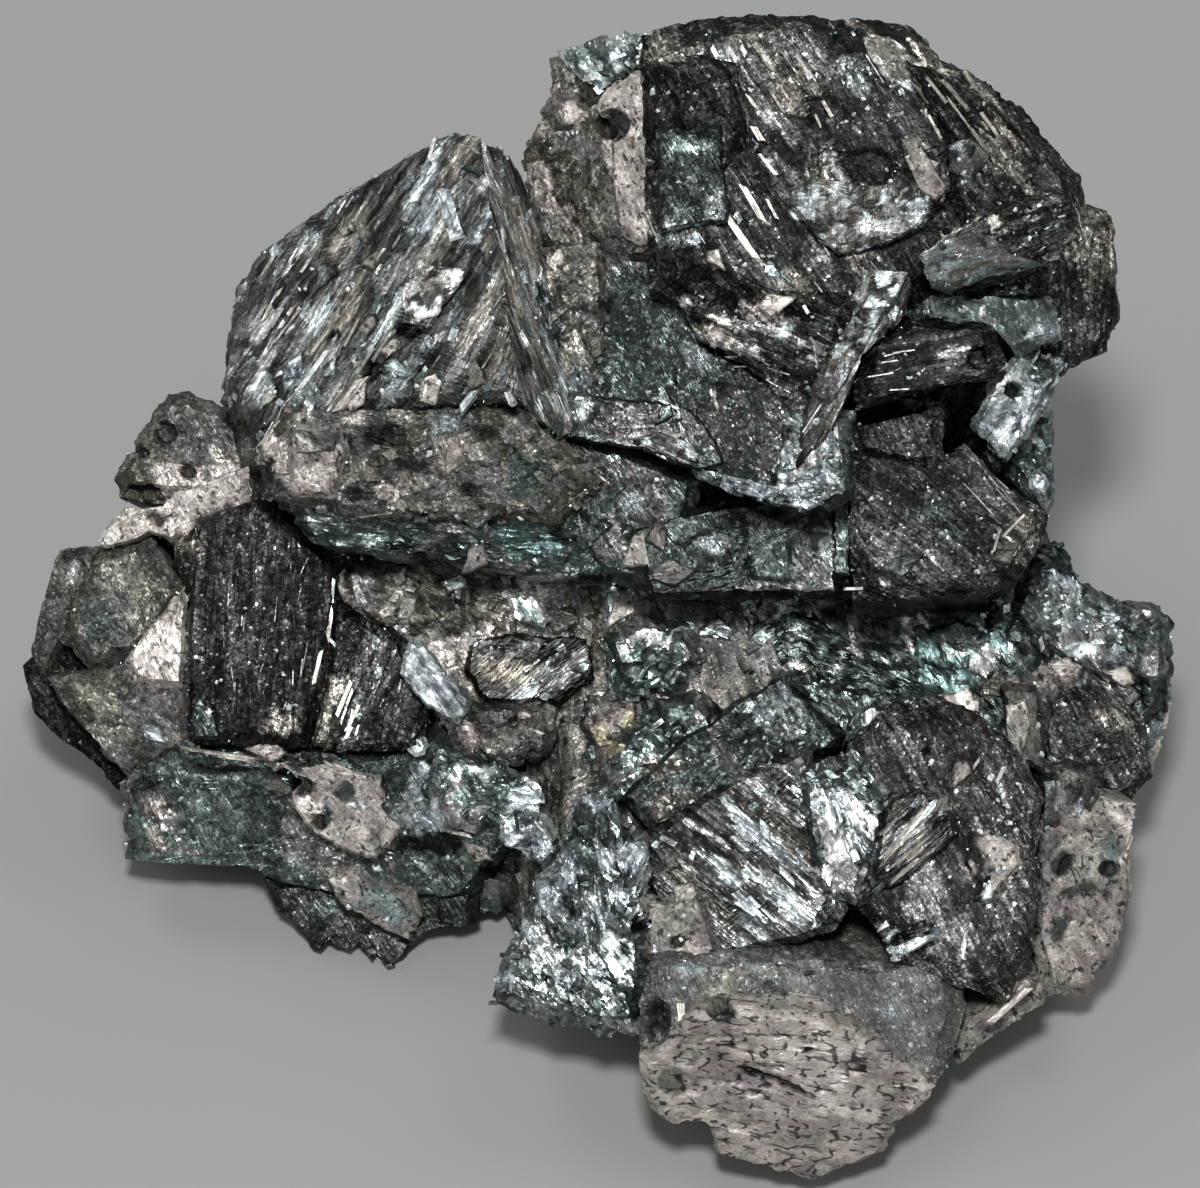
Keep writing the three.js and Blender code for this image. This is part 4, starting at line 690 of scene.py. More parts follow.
# Laths: u and v of both ends, width, brightness and hue.
LATHS = (
    # great crystal and its sides
    (15.1, 46, 15.9, 44.6, 0.7, 0.35, SAND), (15.5, 43.5, 17.5, 41, 0.45, 0.4, GREY),
    (13.8, 40.5, 16.2, 36.3, 0.7, 0.42, SAND), (11.5, 38.5, 15.8, 32.2, 0.95, 0.45, SAND),
    (16.3, 39, 17.5, 36.7, 0.35, 0.4, SAND),
    # middle blocks and centre plate
    (42, 8, 39.5, 5.5, 0.4, 0.35, SAND), (39.4, 6.5, 38.7, 4, 0.35, 0.3, GREY),
    (24, 0.5, 30, 0.7, 0.35, 0.5, GREY), (20.5, 25.5, 22, 23.5, 0.4, 0.4, GREY),
    (19, 30, 20.5, 27.5, 0.4, 0.5, GREY), (10.8, 20.4, 11.8, 18, 0.45, 0.35, BLUSH),
    (5.8, 19.2, 7.8, 18.2, 0.3, 0.35, FROST), (7.6, 18.8, 7.8, 17.3, 0.25, 0.35, FROST),
    (3.4, 14.9, 7.5, 12.9, 0.3, 0.5, GREY),
    # wedge and ledge
    (-16.3, 45, -17, 42.5, 0.4, 0.6, GREY), (-26.7, 24.5, -30, 20, 0.6, 0.7, GREY),
    (-23.3, 21.5, -26, 18, 1.0, 0.4, BLUSH), (-34, 14.5, -31.5, 17.5, 0.5, 0.35, SAND),
    (-14, 17.8, -11, 21.5, 0.9, 0.4, FROST), (-9.7, 21.5, -8.5, 18.5, 0.8, 0.4, GREY),
    (-8.5, 18.5, -5.5, 17, 0.4, 0.5, GREY), (-24, 7.6, -16, 8.8, 0.25, 0.3, SAND),
    # left group and slab
    (-26.7, 1.6, -26.9, -1, 0.35, 0.5, FROST), (-26.9, -1, -27.4, -4.5, 0.7, 0.4, BLUSH),
    (-27.9, -5.5, -28.7, -9.2, 0.45, 0.6, SAND), (-27.3, -4.3, -26.3, -5.4, 0.4, 0.35, FROST),
    (-24.9, -8.7, -26.4, -12.3, 0.5, 0.75, SAND), (-42.3, -15.5, -31.8, -16.8, 0.45, 0.35, BLUSH),
    (-39, -16.2, -34, -16.9, 0.3, 0.4, SAND), (-16.3, -23.5, -12.8, -24.3, 0.5, 0.35, BLUSH),
    (-11.7, -18.3, -12.2, -20.5, 0.6, 0.6, GREY), (41, -3.7, 41.2, -6, 0.6, 0.5, FROST),
    # lower crystal and right lobe
    (24.8, -30, 27.3, -27.2, 0.6, 0.5, FROST), (27.6, -32.8, 29.3, -32, 0.8, 0.85, GREY),
    (39.2, -18.6, 40, -17, 0.5, 0.8, GREY), (36.8, -17.3, 37.6, -16.2, 0.4, 0.6, GREY),
    (35.6, -35.6, 36, -33.9, 0.7, 0.8, GREY), (18.6, -8.3, 23, -13.5, 0.25, 0.3, SAND),
    (7.9, -40.2, 8.1, -42.6, 0.9, 0.4, SAND), (38.3, -42.5, 42.6, -38.8, 0.9, 0.6, BLUSH),
)

# Drifts of laths: u, v, half sizes of the drift, number, angle, length, width, brightness and hue.
DRIFTS = (
    (13, 53.3, 1.8, 0.4, 4, -63, 1.6, 0.55, 0.75, GREY),
    (35.5, 47.3, 4.5, 2.8, 9, -53, 5, 0.42, 0.26, SAND),
    (19, 49, 4, 3.5, 8, -57, 3.5, 0.38, 0.24, SAND), (28.3, 22, 2.6, 2, 9, 9, 3, 0.13, 0.4, GREY),
    (39, 10.8, 2, 2.4, 6, -48, 5.5, 0.15, 0.35, GREY), (14, 23, 1.6, 0.7, 4, -3, 2.7, 0.15, 0.3, GREY),
    (-27, 28.5, 6.5, 5.5, 12, 57, 4.5, 0.42, 0.4, SAND), (-9, 31, 1, 4, 5, -70, 3, 0.3, 0.35, GREY),
    (-12, 12, 1.2, 1.2, 5, -60, 3.2, 0.18, 0.35, GREY), (-1, 8, 1.2, 1.5, 4, -84, 6, 0.3, 0.22, GREY),
    (-34, -2.5, 5, 6, 8, 86, 2.6, 0.13, 0.3, GREY), (-25.2, -12.3, 0.9, 2, 7, 68, 2.8, 0.38, 0.7, SAND),
    (-28, -17.3, 2.5, 0.7, 3, -25, 4, 0.3, 0.2, SAND),
    (15.5, -27.5, 3.5, 4.5, 14, -41, 2.6, 0.6, 0.7, FROST),
    (29.8, -25, 2, 3.2, 8, 42, 6, 0.4, 0.26, SAND),
)

# Painted glints: small specks tinted near white, with u, v and size.
SPARKS = (
    (5.3, 49.3, 0.9), (36.2, 28, 0.8), (43.5, 26.5, 0.8), (26.3, 9.5, 1.0), (26.5, 1.2, 1.0),
    (34.4, 0.9, 0.8), (15.7, 3.2, 1.0), (10.7, 5, 0.9), (22.6, 11, 1.5), (21, 9.6, 0.9), (21.2, 17, 1.0),
    (-20.3, 21.3, 1.1), (-21.5, 20, 0.8), (-7.9, 7.5, 0.9), (-5, 9.2, 1.0), (-17, 13.8, 0.8),
    (-31.2, -11.3, 0.8), (-25.1, -21.2, 1.3), (-23.8, -21, 1.0), (-31, -24, 0.8), (-42.2, -20.6, 0.9),
    (-30, -28.5, 0.8), (-22.4, -27.7, 0.9), (-25.2, -31.4, 0.9), (-21.4, -32.7, 0.8), (-15.8, -16.6, 0.8),
    (-7.3, -5, 0.9), (-12.7, -4.8, 0.9), (-5.5, -10.3, 1.0), (-0.2, -11.3, 0.8), (-9.5, 3.6, 1.0),
    (26.3, -11, 0.8), (21.2, -21, 1.4), (24.1, -21, 1.2), (22.2, -27.8, 1.0), (24.4, -26.5, 1.0),
    (25, -22.5, 0.8), (11.7, -24.2, 0.9), (6.3, -35.5, 0.8), (30.6, -10.8, 0.8), (37, -28.8, 0.9),
    (8.2, -38.9, 0.8), (28.2, -39.7, 0.6), (28.7, -41.2, 0.8), (46, -14.8, 0.8), (42.2, 35, 0.7),
)

# Sprays of painted glints: u, v, half sizes of the spray, number and size.
SPRAYS = (
    (26.5, 47, 4, 2, 6, 0.6), (41.5, 38, 2.5, 3, 6, 0.6), (7.5, 49, 2.5, 2, 5, 0.45),
    (35.5, 28.3, 1, 0.6, 3, 0.6), (43.5, 26.5, 2, 1.5, 6, 0.6), (-4.3, 28, 2.3, 1, 4, 0.6),
    (12.5, 53, 3, 1.5, 5, 0.5), (30.5, 21.7, 0.8, 0.6, 3, 0.5), (25, 15.3, 0.8, 1.5, 6, 0.5),
    (33, 3.5, 2.5, 2, 6, 0.45), (21, 25.5, 2.5, 3, 9, 0.6), (27, 9.7, 1.6, 0.6, 4, 0.45),
    (19.8, 12, 3, 3, 14, 0.5), (22.9, 4.3, 0.5, 1, 3, 0.6), (-27, 29.5, 3, 3, 7, 0.6),
    (-31.5, 18.8, 2, 1.5, 5, 0.6), (-11, 33, 1, 5, 5, 0.5), (-20, 21.5, 5, 1.6, 9, 0.7),
    (-22, 10.5, 4, 1.5, 10, 0.5), (-17, 13.6, 2.2, 0.8, 5, 0.55), (-15, 4.7, 9, 0.8, 9, 0.4),
    (-36, -5, 5, 5, 22, 0.38), (-31.5, -11.5, 1.3, 0.5, 4, 0.4), (-23.7, -20.5, 1.5, 2, 6, 0.45),
    (-8, -5.3, 6, 1, 9, 0.5), (-3, -5.5, 2.5, 2, 9, 0.42), (-5, -11.5, 5, 2, 7, 0.5),
    (-2.5, 1.5, 4, 1.5, 8, 0.45), (8, -13, 2, 2.5, 6, 0.45), (20, -4, 7, 3, 12, 0.45),
    (38, -4, 4, 2, 5, 0.55), (23, -25, 2, 4.5, 14, 0.6), (7, -34.5, 2, 1.2, 4, 0.6),
    (32.5, -14.5, 2.8, 2.6, 12, 0.4), (30, -18.3, 1.5, 0.6, 5, 0.35), (35.3, -23.2, 0.7, 2, 6, 0.4),
    (40, -22, 1.8, 3.5, 10, 0.45), (38.5, -27.8, 1.5, 1.5, 6, 0.5), (16.5, -15, 2.5, 2.2, 14, 0.35),
    (8.5, -16.5, 1, 0.4, 3, 0.35), (16, -36.9, 3, 1, 9, 0.4), (49.5, -14, 3.5, 4, 9, 0.45),
    (30.5, -42, 3, 2.5, 7, 0.3), (38.8, -20.5, 2.5, 4.5, 9, 0.65), (46.5, -15, 3.5, 2.5, 8, 0.65),
    (17, 44, 3, 5, 9, 0.5), (33, 45, 5, 5, 12, 0.5), (13, 31, 5, 1.5, 9, 0.55), (27, 23, 3.5, 2.5, 7, 0.45),
    (36.5, 5, 3, 3, 9, 0.45), (1, 24, 4, 4, 8, 0.45), (12, -5, 6, 3, 9, 0.5), (28, -9, 5, 1.5, 6, 0.5),
    (-24, 9, 5, 2, 7, 0.5), (-27, -26, 6, 2, 7, 0.5),
)

# ---- Matrix and back

# Lumps of matrix in the floor frame: an outline in x and y carried up through levels of height,
# scale and shift along y. The first is the broken base, which is cut flat at the floor.
MATRIX = (
    (((-40, -6), (-30, -10), (-12, -14), (-4, -28), (8, -34), (28, -31), (39, -20), (45, -4), (42, 14),
     (28, 30), (4, 36), (-20, 31), (-36, 16), (-42, 3)), ((0, 0.95, 0), (3, 1, 0), (9, 0.97, 3),
     (16, 0.86, 10), (26, 0.62, 19), (36, 0.35, 26))),
    (((-6, 24), (14, 20), (34, 22), (42, 30), (36, 44), (14, 50), (-2, 44)), ((6, 0.55, -8), (20, 0.8, -3),
     (36, 1, 0), (52, 0.86, 0), (60, 0.55, 2))),
    (((-36, 14), (-20, 14), (-4, 18), (-1, 34), (-16, 40), (-31, 34), (-38, 22)), ((4, 0.7, -4),
     (18, 0.95, 0), (34, 1, 0), (46, 0.75, 0), (51, 0.4, 2))),
    (((-52, 2), (-42, -5), (-30, 0), (-30, 18), (-42, 22), (-52, 13)), ((2, 0.7, 0), (8, 0.95, 0),
     (15, 1, 0), (22, 0.7, 2))),
    (((36, -10), (45, -12), (52, -5), (52, 3), (44, 12), (34, 12)), ((3, 0.7, 0), (9, 0.95, 0), (17, 1, 0),
     (23, 0.7, 1))),
)

# Stout prisms of the back, in the floor frame: middle, way of length, way of width, half sizes, look.
BACK_CRYSTALS = (
    ((20, 40, 46), (0.25, 0.45, 0.85), (1, -0.3, -0.2), (14, 13, 8), "blades"),
    ((3, 38, 38), (-0.2, 0.8, 0.5), (1, 0.3, 0), (13, 9, 9), "mirror"),
    ((35, 32, 32), (0.6, 0.7, 0.4), (-0.5, 0.5, 0.6), (12, 12, 8), "striated"),
    ((-19, 28, 33), (-0.2, 0.6, 0.75), (1, 0.3, 0.1), (12, 12, 8), "striated"),
    ((-30, 17, 22), (-0.6, 0.7, 0.2), (0.4, 1, -0.2), (12, 10, 8), "mirror"),
    ((14, 31, 16), (0.2, 1, -0.15), (1, -0.2, 0.2), (15, 15, 9), "druse"),
    ((-13, 27, 14), (-0.35, 0.9, 0.15), (0.9, 0.3, -0.3), (14, 12, 9), "blades"),
    ((33, 15, 14), (0.8, 0.6, -0.1), (-0.4, 0.6, 0.7), (13, 11, 9), "mirror"),
    ((-35, 7, 8), (-1, 0.3, 0.1), (0, 0.7, 0.7), (13, 9, 8), "cleaved"),
    ((6, 40, 52), (0.1, 0.4, 0.9), (1, 0.1, -0.2), (11, 9, 6), "druse"),
    ((26, 38, 20), (0.5, 0.8, 0.3), (0.8, -0.5, 0.2), (11, 8, 10), "cleaved"),
    ((-4, 34, 22), (0.1, 1, 0.4), (1, 0, 0.3), (12, 7, 8), "frost"),
)
BACK_SECTION = ((1, 0.1), (0.5, 1), (-0.65, 0.9), (-1, -0.15), (-0.5, -1), (0.6, -0.9))
BACK_STATIONS = ((1, 0.55), (0.72, 1), (-0.75, 1), (-1, 0.6))

# ---- Patterns on a face, in millimetres along and across its grain


def hashed(cells, seed):
    """A number from 0 to 1 for each whole-number cell: its coordinates mixed by an integer hash."""
    mixed = (cells[..., 0] * 374761393 + cells[..., 1] * 668265263 + seed * 974634777) & 0xFFFFFFFF
    mixed = ((mixed ^ (mixed >> 13)) * 1274126177) & 0xFFFFFFFF
    mixed = ((mixed ^ (mixed >> 16)) * 2246822519) & 0xFFFFFFFF
    return ((mixed ^ (mixed >> 15)) & 0xFFFFFF) / 0xFFFFFF


def soft_noise(points, size, seed):
    """Smooth noise from 0 to 1: hashed corners of a lattice of the given size, blended between."""
    scaled = points / np.asarray(size, dtype=float)
    low = np.floor(scaled).astype(np.int64)
    part = scaled - low
    part = part * part * (3 - 2 * part)
    total = np.zeros(len(points))
    for corner in np.ndindex(2, 2):
        weight = np.prod(np.where(np.array(corner), part, 1 - part), axis=1)
        total += weight * hashed(low + np.array(corner), seed)
    return total


def blocks(points, relief, seed):
    """Intergrown blocks: the height from 0 to about 1 at each point, and the number of its block.

    Every cell of a lattice holds one strayed, turned rectangle with a tilted top and steep sides.
    Its height is the lower of its top and its wall, and the highest block at a point wins.
    """
    scaled = points / (relief.along, relief.across)
    low = np.floor(scaled).astype(np.int64)
    best = np.zeros(len(points))
    number = np.zeros(len(points))
    for step in np.ndindex(3, 3):
        cell = low + np.array(step) - 1
        draw = [hashed(cell, seed + k) for k in range(8)]
        x, y = scaled[:, 0] - cell[:, 0] - draw[0], scaled[:, 1] - cell[:, 1] - draw[1]
        angle = math.radians(relief.turn) * (2 * draw[2] - 1)
        x, y = x * np.cos(angle) + y * np.sin(angle), y * np.cos(angle) - x * np.sin(angle)
        wall = 5 * (1 - np.maximum(np.abs(x) / (0.45 + 0.45 * draw[3]), np.abs(y) / (0.45 + 0.45 * draw[4])))
        top = 0.35 + 0.65 * draw[5] + 2 * relief.tilt * ((draw[6] - 0.5) * x + (draw[7] - 0.5) * y)
        rise = np.minimum(top, wall)
        higher = rise > best
        best = np.where(higher, rise, best)
        number = np.where(higher, hashed(cell, seed + 8), number)
    return best, number


def toned(tones, picks):
    """Colours picked from tones of (weight, brightness, hue) by numbers from 0 to 1."""
    weights = np.cumsum([tone[0] for tone in tones])
    colours = np.array([np.array(hue) * brightness * TONE for _, brightness, hue in tones])
    return colours[np.clip(np.searchsorted(weights, picks * weights[-1]), 0, len(tones) - 1)]


# ---- Lofts: every crystal and lump is an outline carried through stations


@dataclass
class Loft:
    """An outline carried through stations of (shift, height, scale), in the frame of three axes."""

    outline: np.ndarray
    stations: list
    axes: np.ndarray
    origin: np.ndarray
    lean: tuple
    look: Look
    grain: float = 0.0
    shade: float = 1.0
    fine: float = 1.0
    shown: bool = False
    even: bool = False
    middle: np.ndarray = field(init=False)

    def __post_init__(self):
        following = np.roll(self.outline, -1, axis=0)
        area = (self.outline[:, 0] * following[:, 1] - self.outline[:, 1] * following[:, 0]).sum()
        self.middle = self.outline.mean(axis=0)
        if area < 0:
            self.outline = self.outline[::-1].copy()

    def place(self, offsets, shift, height, scale):
        """Points of a station: offsets from the middle scaled, shifted and raised by the lean."""
        spread = offsets * scale
        rise = height + spread @ np.asarray(self.lean)
        local = np.column_stack([self.middle + spread + shift, rise])
        return self.origin + local @ self.axes

    def flat(self, points):
        """The two flat coordinates of points in the loft's own frame."""
        return ((points - self.origin) @ self.axes.T)[:, :2]

    def inside(self, points):
        """True where a point is inside: its depth gives the scale, then it is tested to the outline."""
        local = (points - self.origin) @ self.axes.T
        flat = local[:, :2] - self.middle
        depth = local[:, 2] - flat @ np.asarray(self.lean)
        shifts, heights, scales = (np.array(values)[::-1] for values in zip(*self.stations))
        shift = np.column_stack([np.interp(depth, heights, shifts[:, axis]) for axis in (0, 1)])
        flat = (flat - shift) / np.interp(depth, heights, scales)[:, None]
        within = (depth > heights[0]) & (depth < heights[-1])
        return within & in_polygon(flat + self.middle, self.outline)


def unit(vectors, least=0.0):
    """Vectors brought to a length of 1; a least length keeps those of none from failing."""
    return vectors / (np.linalg.norm(vectors, axis=-1, keepdims=True) + least)


def in_polygon(points, outline):
    """True for points inside a closed outline, by the number of edges that a ray crosses."""
    found = np.zeros(len(points), dtype=bool)
    for (ax, ay), (bx, by) in zip(outline, np.roll(outline, -1, axis=0)):
        spans = (ay > points[:, 1]) != (by > points[:, 1])
        if ay == by:
            continue
        cross = ax + (points[:, 1] - ay) * (bx - ax) / (by - ay)
        found ^= spans & (points[:, 0] < cross)
    return found


def display_axes():
    """The display frame's three axes as rows, and its origin."""
    tilt = math.radians(DISPLAY_TILT)
    across, along = math.sin(tilt), math.cos(tilt)
    axes = np.array([[1, 0, 0], [0, along, across], [0, -across, along]], dtype=float)
    return axes, np.array([TO_CENTRE[0], TO_CENTRE[1], DISPLAY_HEIGHT])


def crystal_loft(item, front=0.0, lean=(0.0, 0.0)):
    """A crystal of the display side: its bevelled face, its rim and its hidden narrower end.

    The front and lean given are those of the crystal that a plate rests on.
    """
    outline = item.outline.astype(float)
    reach = np.linalg.norm(outline - outline.mean(axis=0), axis=1).mean()
    into = np.array(item.into)
    front += item.front
    stations = [
        (0 * into, front, 1 - item.bevel / reach),
        (into * item.bevel / item.deep, front - item.bevel, 1.0),
        (into, front - item.deep, item.narrow),
    ]
    axes, origin = display_axes()
    lean = (lean[0] + item.lean[0], lean[1] + item.lean[1])
    return Loft(outline, stations, axes, origin, lean, LOOKS[item.look], item.grain, item.shade,
                fine=0.8 if item.resting else 1.0, shown=True)


def topmost(spots):
    """For spots of the display side, the group and crystal whose face is highest there, and how high.

    Over the bevel, the height drops in steps from the face's plane to the rim's.
    """
    high = np.full(len(spots), -np.inf)
    owner = [None] * len(spots)
    for group in DISPLAY_GROUPS:
        for loft in LOFTS[group]:
            share, bevel = loft.stations[0][2], loft.stations[0][1] - loft.stations[1][1]
            off = spots - loft.middle
            height = np.full(len(spots), -np.inf)
            for part in (1.4, 1.0, 0.5, 0.0):
                within = in_polygon(loft.middle + off / (share + part * (1 - share)), loft.outline)
                height[within] = loft.stations[0][1] - bevel * part + off[within] @ np.asarray(loft.lean)
            for index in np.flatnonzero(height > high):
                high[index] = height[index]
                owner[index] = (group, loft)
    if None in owner:
        raise ValueError(f"no crystal under {spots[owner.index(None)]}")
    return owner, high


def matrix_loft(outline, levels):
    """A lump of matrix, from its top level down."""
    stations = [(np.array([0.0, shift]), height, scale) for height, scale, shift in reversed(levels)]
    origin = np.array([*TO_CENTRE, 0.0])
    outline = np.array(outline, dtype=float)
    return Loft(outline, stations, np.eye(3), origin, (0, 0), LOOKS["earth"], fine=1.6, even=True)


def back_loft(at, along, across, half, look):
    """A stout prism of the back: its section carried along its length, with bevelled ends."""
    length = unit(np.array(along, dtype=float))
    thickness = unit(np.cross(length, across))
    width = np.cross(thickness, length)
    outline = np.array(BACK_SECTION) * np.array(half[1:])
    stations = [(np.zeros(2), place * half[0], scale) for place, scale in BACK_STATIONS]
    origin = np.array(at, dtype=float) + np.array([*TO_CENTRE, 0.0])
    axes = np.array([width, thickness, length])
    return Loft(outline, stations, axes, origin, (0, 0), LOOKS[look], fine=1.3)


LOFTS = {name: [crystal_loft(item) for item in items] for name, items in DISPLAY_GROUPS.items()}
PLATE_MIDDLES = np.array([np.mean(item.outline, axis=0) for item in PLATES])
for item, (name, under), front in zip(PLATES, *topmost(PLATE_MIDDLES)):
    LOFTS[name].append(crystal_loft(item, front, under.lean))
LOFTS["matrix"] = [matrix_loft(*item) for item in MATRIX]
LOFTS["back_crystals"] = [back_loft(*item) for item in BACK_CRYSTALS]
ALL_LOFTS = [loft for group in LOFTS.values() for loft in group]


def buried(points, normals, own):
    """True where a point just above its face lies inside any other crystal or lump."""
    raised = points + normals * BURIED
    hidden = raised[:, 2] < 0
    for loft in ALL_LOFTS:
        if loft is not own:
            hidden |= loft.inside(raised)
    return hidden


# ---- Meshes as arrays


@dataclass
class Patch:
    """A set of triangles: vertices in mm, corners, tint and grain at each vertex, and its finish."""

    vertices: np.ndarray
    triangles: np.ndarray
    tint: np.ndarray
    grain: np.ndarray
    finish: str
    smooth: bool


def ring_samples(outline, step):
    """Points round an outline about a step apart, its corners kept, their number a multiple of 4."""
    lengths = np.linalg.norm(np.roll(outline, -1, axis=0) - outline, axis=1)
    counts = np.maximum(1, np.round(lengths / step)).astype(int)
    counts[np.argmax(lengths)] += -counts.sum() % 4
    rows = [start + (end - start) * (np.arange(count) / count)[:, None]
            for start, end, count in zip(outline, np.roll(outline, -1, axis=0), counts)]
    return np.concatenate(rows)


def square_grid(count):
    """A square grid for a ring of count points: each point's share of the way out, and its place round.

    The ring is laid round the edge of a square. A point's share is the larger of its distances from
    the middle, and its place is where the line from the middle through it meets the ring.
    """
    side = count // 4
    across = np.linspace(-1, 1, side + 1)
    a, b = np.meshgrid(across, across, indexing="ij")
    share = np.maximum(np.abs(a), np.abs(b))
    safe = np.where(share > 0, share, 1)
    a, b = a / safe, b / safe
    place = np.select(
        [(b <= -1) & (a < 1), (a >= 1) & (b < 1), (b >= 1) & (a > -1)],
        [(a + 1) / 2, 1 + (b + 1) / 2, 2 + (1 - a) / 2], 3 + (1 - b) / 2)
    return share, place * side


def side_stations(loft, step):
    """Stations down the sides: a step apart near the face, then wider and wider apart, or evenly."""
    stations = []
    for index, (here, there) in enumerate(zip(loft.stations[:-1], loft.stations[1:])):
        steps = abs(here[1] - there[1]) / step
        if index == 0:
            ways = np.arange(1, max(2, math.ceil(steps)) + 1)
        elif loft.even:
            ways = np.arange(1, max(2, math.ceil(steps / EVEN_ROWS)) + 1)
        else:
            parts = max(2, math.ceil(math.log(1 + steps * (ROW_GROWTH - 1)) / math.log(ROW_GROWTH)))
            ways = np.cumsum(ROW_GROWTH ** np.arange(parts))
        for way in ways / ways[-1]:
            stations.append([np.asarray(p) * (1 - way) + np.asarray(q) * way for p, q in zip(here, there)])
    return stations


def sewn(count, rows):
    """Triangles of a face's grid, of the rows of points round its sides, and of the end's fan.

    The grid's points come first, then those of the rows, and the middle of the end is the last.
    """
    side = count // 4
    index = np.arange((side + 1) ** 2).reshape(side + 1, side + 1)
    a, b, c, d = index[:-1, :-1], index[1:, :-1], index[1:, 1:], index[:-1, 1:]
    rim = np.concatenate([index[:-1, 0], index[-1, :-1], index[:0:-1, -1], index[0, :0:-1]])
    rings = np.concatenate([rim[None], index.size + np.arange(rows * count).reshape(rows, count)])
    p, q = rings[:-1], np.roll(rings[:-1], -1, axis=1)
    r, s = np.roll(rings[1:], -1, axis=1), rings[1:]
    end = np.full(count, index.size + rows * count)
    corners = ((a, b, c), (a, c, d), (p, s, r), (p, r, q), (end, np.roll(rings[-1], -1), rings[-1]))
    return np.concatenate([np.stack(three, -1).reshape(-1, 3) for three in corners])


def plain_surface(loft, seed, step):
    """A closed loft without relief: its points, their places with the sides unfolded, its triangles.

    The face is a square grid stretched to the outline: eye + share x (ring - eye), where the eye is
    the spot that sees the whole outline. The sides are the ring carried through the stations, and a
    fan closes the hidden end.
    """
    ring = ring_samples(loft.outline, step)
    count = len(ring)
    offsets = chipped(ring, seed + EDGE_SEED, min(1.0, loft.fine ** 4)) - loft.middle
    eye = seeing_spot(loft.outline) - loft.middle
    reach = np.linalg.norm(offsets, axis=1).mean()
    shift, height, scale = loft.stations[0]

    share, place = square_grid(count)
    before = np.floor(place).astype(int) % count
    part = (place - np.floor(place))[..., None]
    edge = offsets[before] * (1 - part) + offsets[(before + 1) % count] * part
    flat_face = (eye + share[..., None] * (edge - eye)).reshape(-1, 2)
    face = loft.place(flat_face, shift, height, scale)

    stations = side_stations(loft, step)
    rows = [loft.place(offsets, *station) for station in stations]
    spread = [offsets * (station[2] + (height - station[1]) / reach) for station in stations]
    end = np.zeros((1, 2))
    points = np.concatenate([face, *rows, loft.place(end, *loft.stations[-1])])
    unfolded = np.concatenate([flat_face * scale, *spread, end]) + loft.middle
    return points, unfolded, sewn(count, len(stations))


def loft_surface(loft, seed, step):
    """One closed surface over a loft, with relief and tints.

    Blocks push each point out along the surface's normal, and holes press it in. The large blocks
    give the tones; the small ones and clouds vary their brightness, and the creases between blocks
    are painted darker as shade.
    """
    points, unfolded, triangles = plain_surface(loft, seed, step * loft.fine)
    normals = vertex_normals(points, triangles)
    grain = turned(unfolded, loft.grain)
    look = loft.look
    height = np.zeros(len(points))
    numbers = []
    for level, relief in enumerate(look.relief):
        rise, number = blocks(grain, relief, seed + LEVEL_SEED * level)
        height += relief.height * (rise - REST)
        numbers.append(number)
    small = numbers[-1]
    # painted shade: the tint darkens into the creases between the small blocks
    painted_crease_shade = np.clip(rise * CREASE_SHADE_SLOPE, 0, 1)
    tint = toned(look.tones, numbers[0])
    tint *= np.exp(look.mottle * FACE_CONTRAST * (small - 0.5))[:, None]
    tint *= (1 - look.painted_crease_shade * (1 - painted_crease_shade))[:, None]
    clouds = soft_noise(grain, CLOUDS, seed + CLOUD_SEED)
    tint *= (CLOUD_TONE + CLOUD_GAIN * clouds)[:, None] * loft.shade
    if loft.shown:
        tint, cup = marked(loft, points, grain, small, tint, seed)
        height -= cup
    height[-1] = 0
    points = points + normals * height[:, None]
    points[:, 2] = np.maximum(points[:, 2], 0.0)
    return Patch(points, triangles, np.clip(tint, DARKEST, BRIGHTEST), grain, look.finish, True)


def outness(flat, u, v, along, across, angle):
    """How far places lie out of an ellipse with its middle at u and v: 0 there, and 1 on its edge."""
    spot = turned(flat - (u, v), angle)
    return np.hypot(spot[:, 0] / along, spot[:, 1] / across)


def near_outline(loft, features):
    """The features that lie over a crystal of the display side or near it."""
    low, high = loft.outline.min(axis=0) - NEAR, loft.outline.max(axis=0) + NEAR
    return [row for row in features if low[0] < row[0] < high[0] and low[1] < row[1] < high[1]]


def painted(loft, flat, tint, ragged, varied):
    """Tints at places of the display side with the marks over them: ellipses of tone, of painted shade and
    of painted glints, grey by default.
    """
    for mark in near_outline(loft, TONE_SHADE_AND_GLINT_MARKS):
        cover = np.clip((1 - outness(flat, *mark[:5]) - ragged) * EDGE_SLOPE, 0, 1)[:, None]
        brightness, hue = (*mark[5:], GREY)[:2]
        paint = np.array(hue) * brightness * TONE * varied
        tint = tint * (1 - cover) + paint * cover
    return tint


def marked(loft, points, grain, small, tint, seed):
    """The tints with the marks of the display side painted on, and the depth of its holes.

    A mark's edge is broken by noise and by the small blocks. A hole is a steep cup, painted nearly black
    inside as shade.
    """
    flat = loft.flat(points)
    noise = soft_noise(grain, RAGS, seed + MARK_SEED)
    ragged = MARK_NOISE * (noise - 0.5) + MARK_BLOCKS * (small - 0.5)
    varied = np.exp(loft.look.mottle * MARK_CONTRAST * (small - 0.5))[:, None]
    tint = painted(loft, flat, tint, ragged, varied)
    depth = np.zeros(len(points))
    for *ellipse, deep in near_outline(loft, HOLES):
        cup = np.clip((HOLE_RIM - outness(flat, *ellipse)) * EDGE_SLOPE, 0, 1)
        depth = np.maximum(depth, deep * cup)
        # painted shade: the hole's tint goes nearly black inside it
        tint = tint * (1 - cup[:, None]) + HOLE_PAINTED_SHADE * cup[:, None]
    return tint, depth


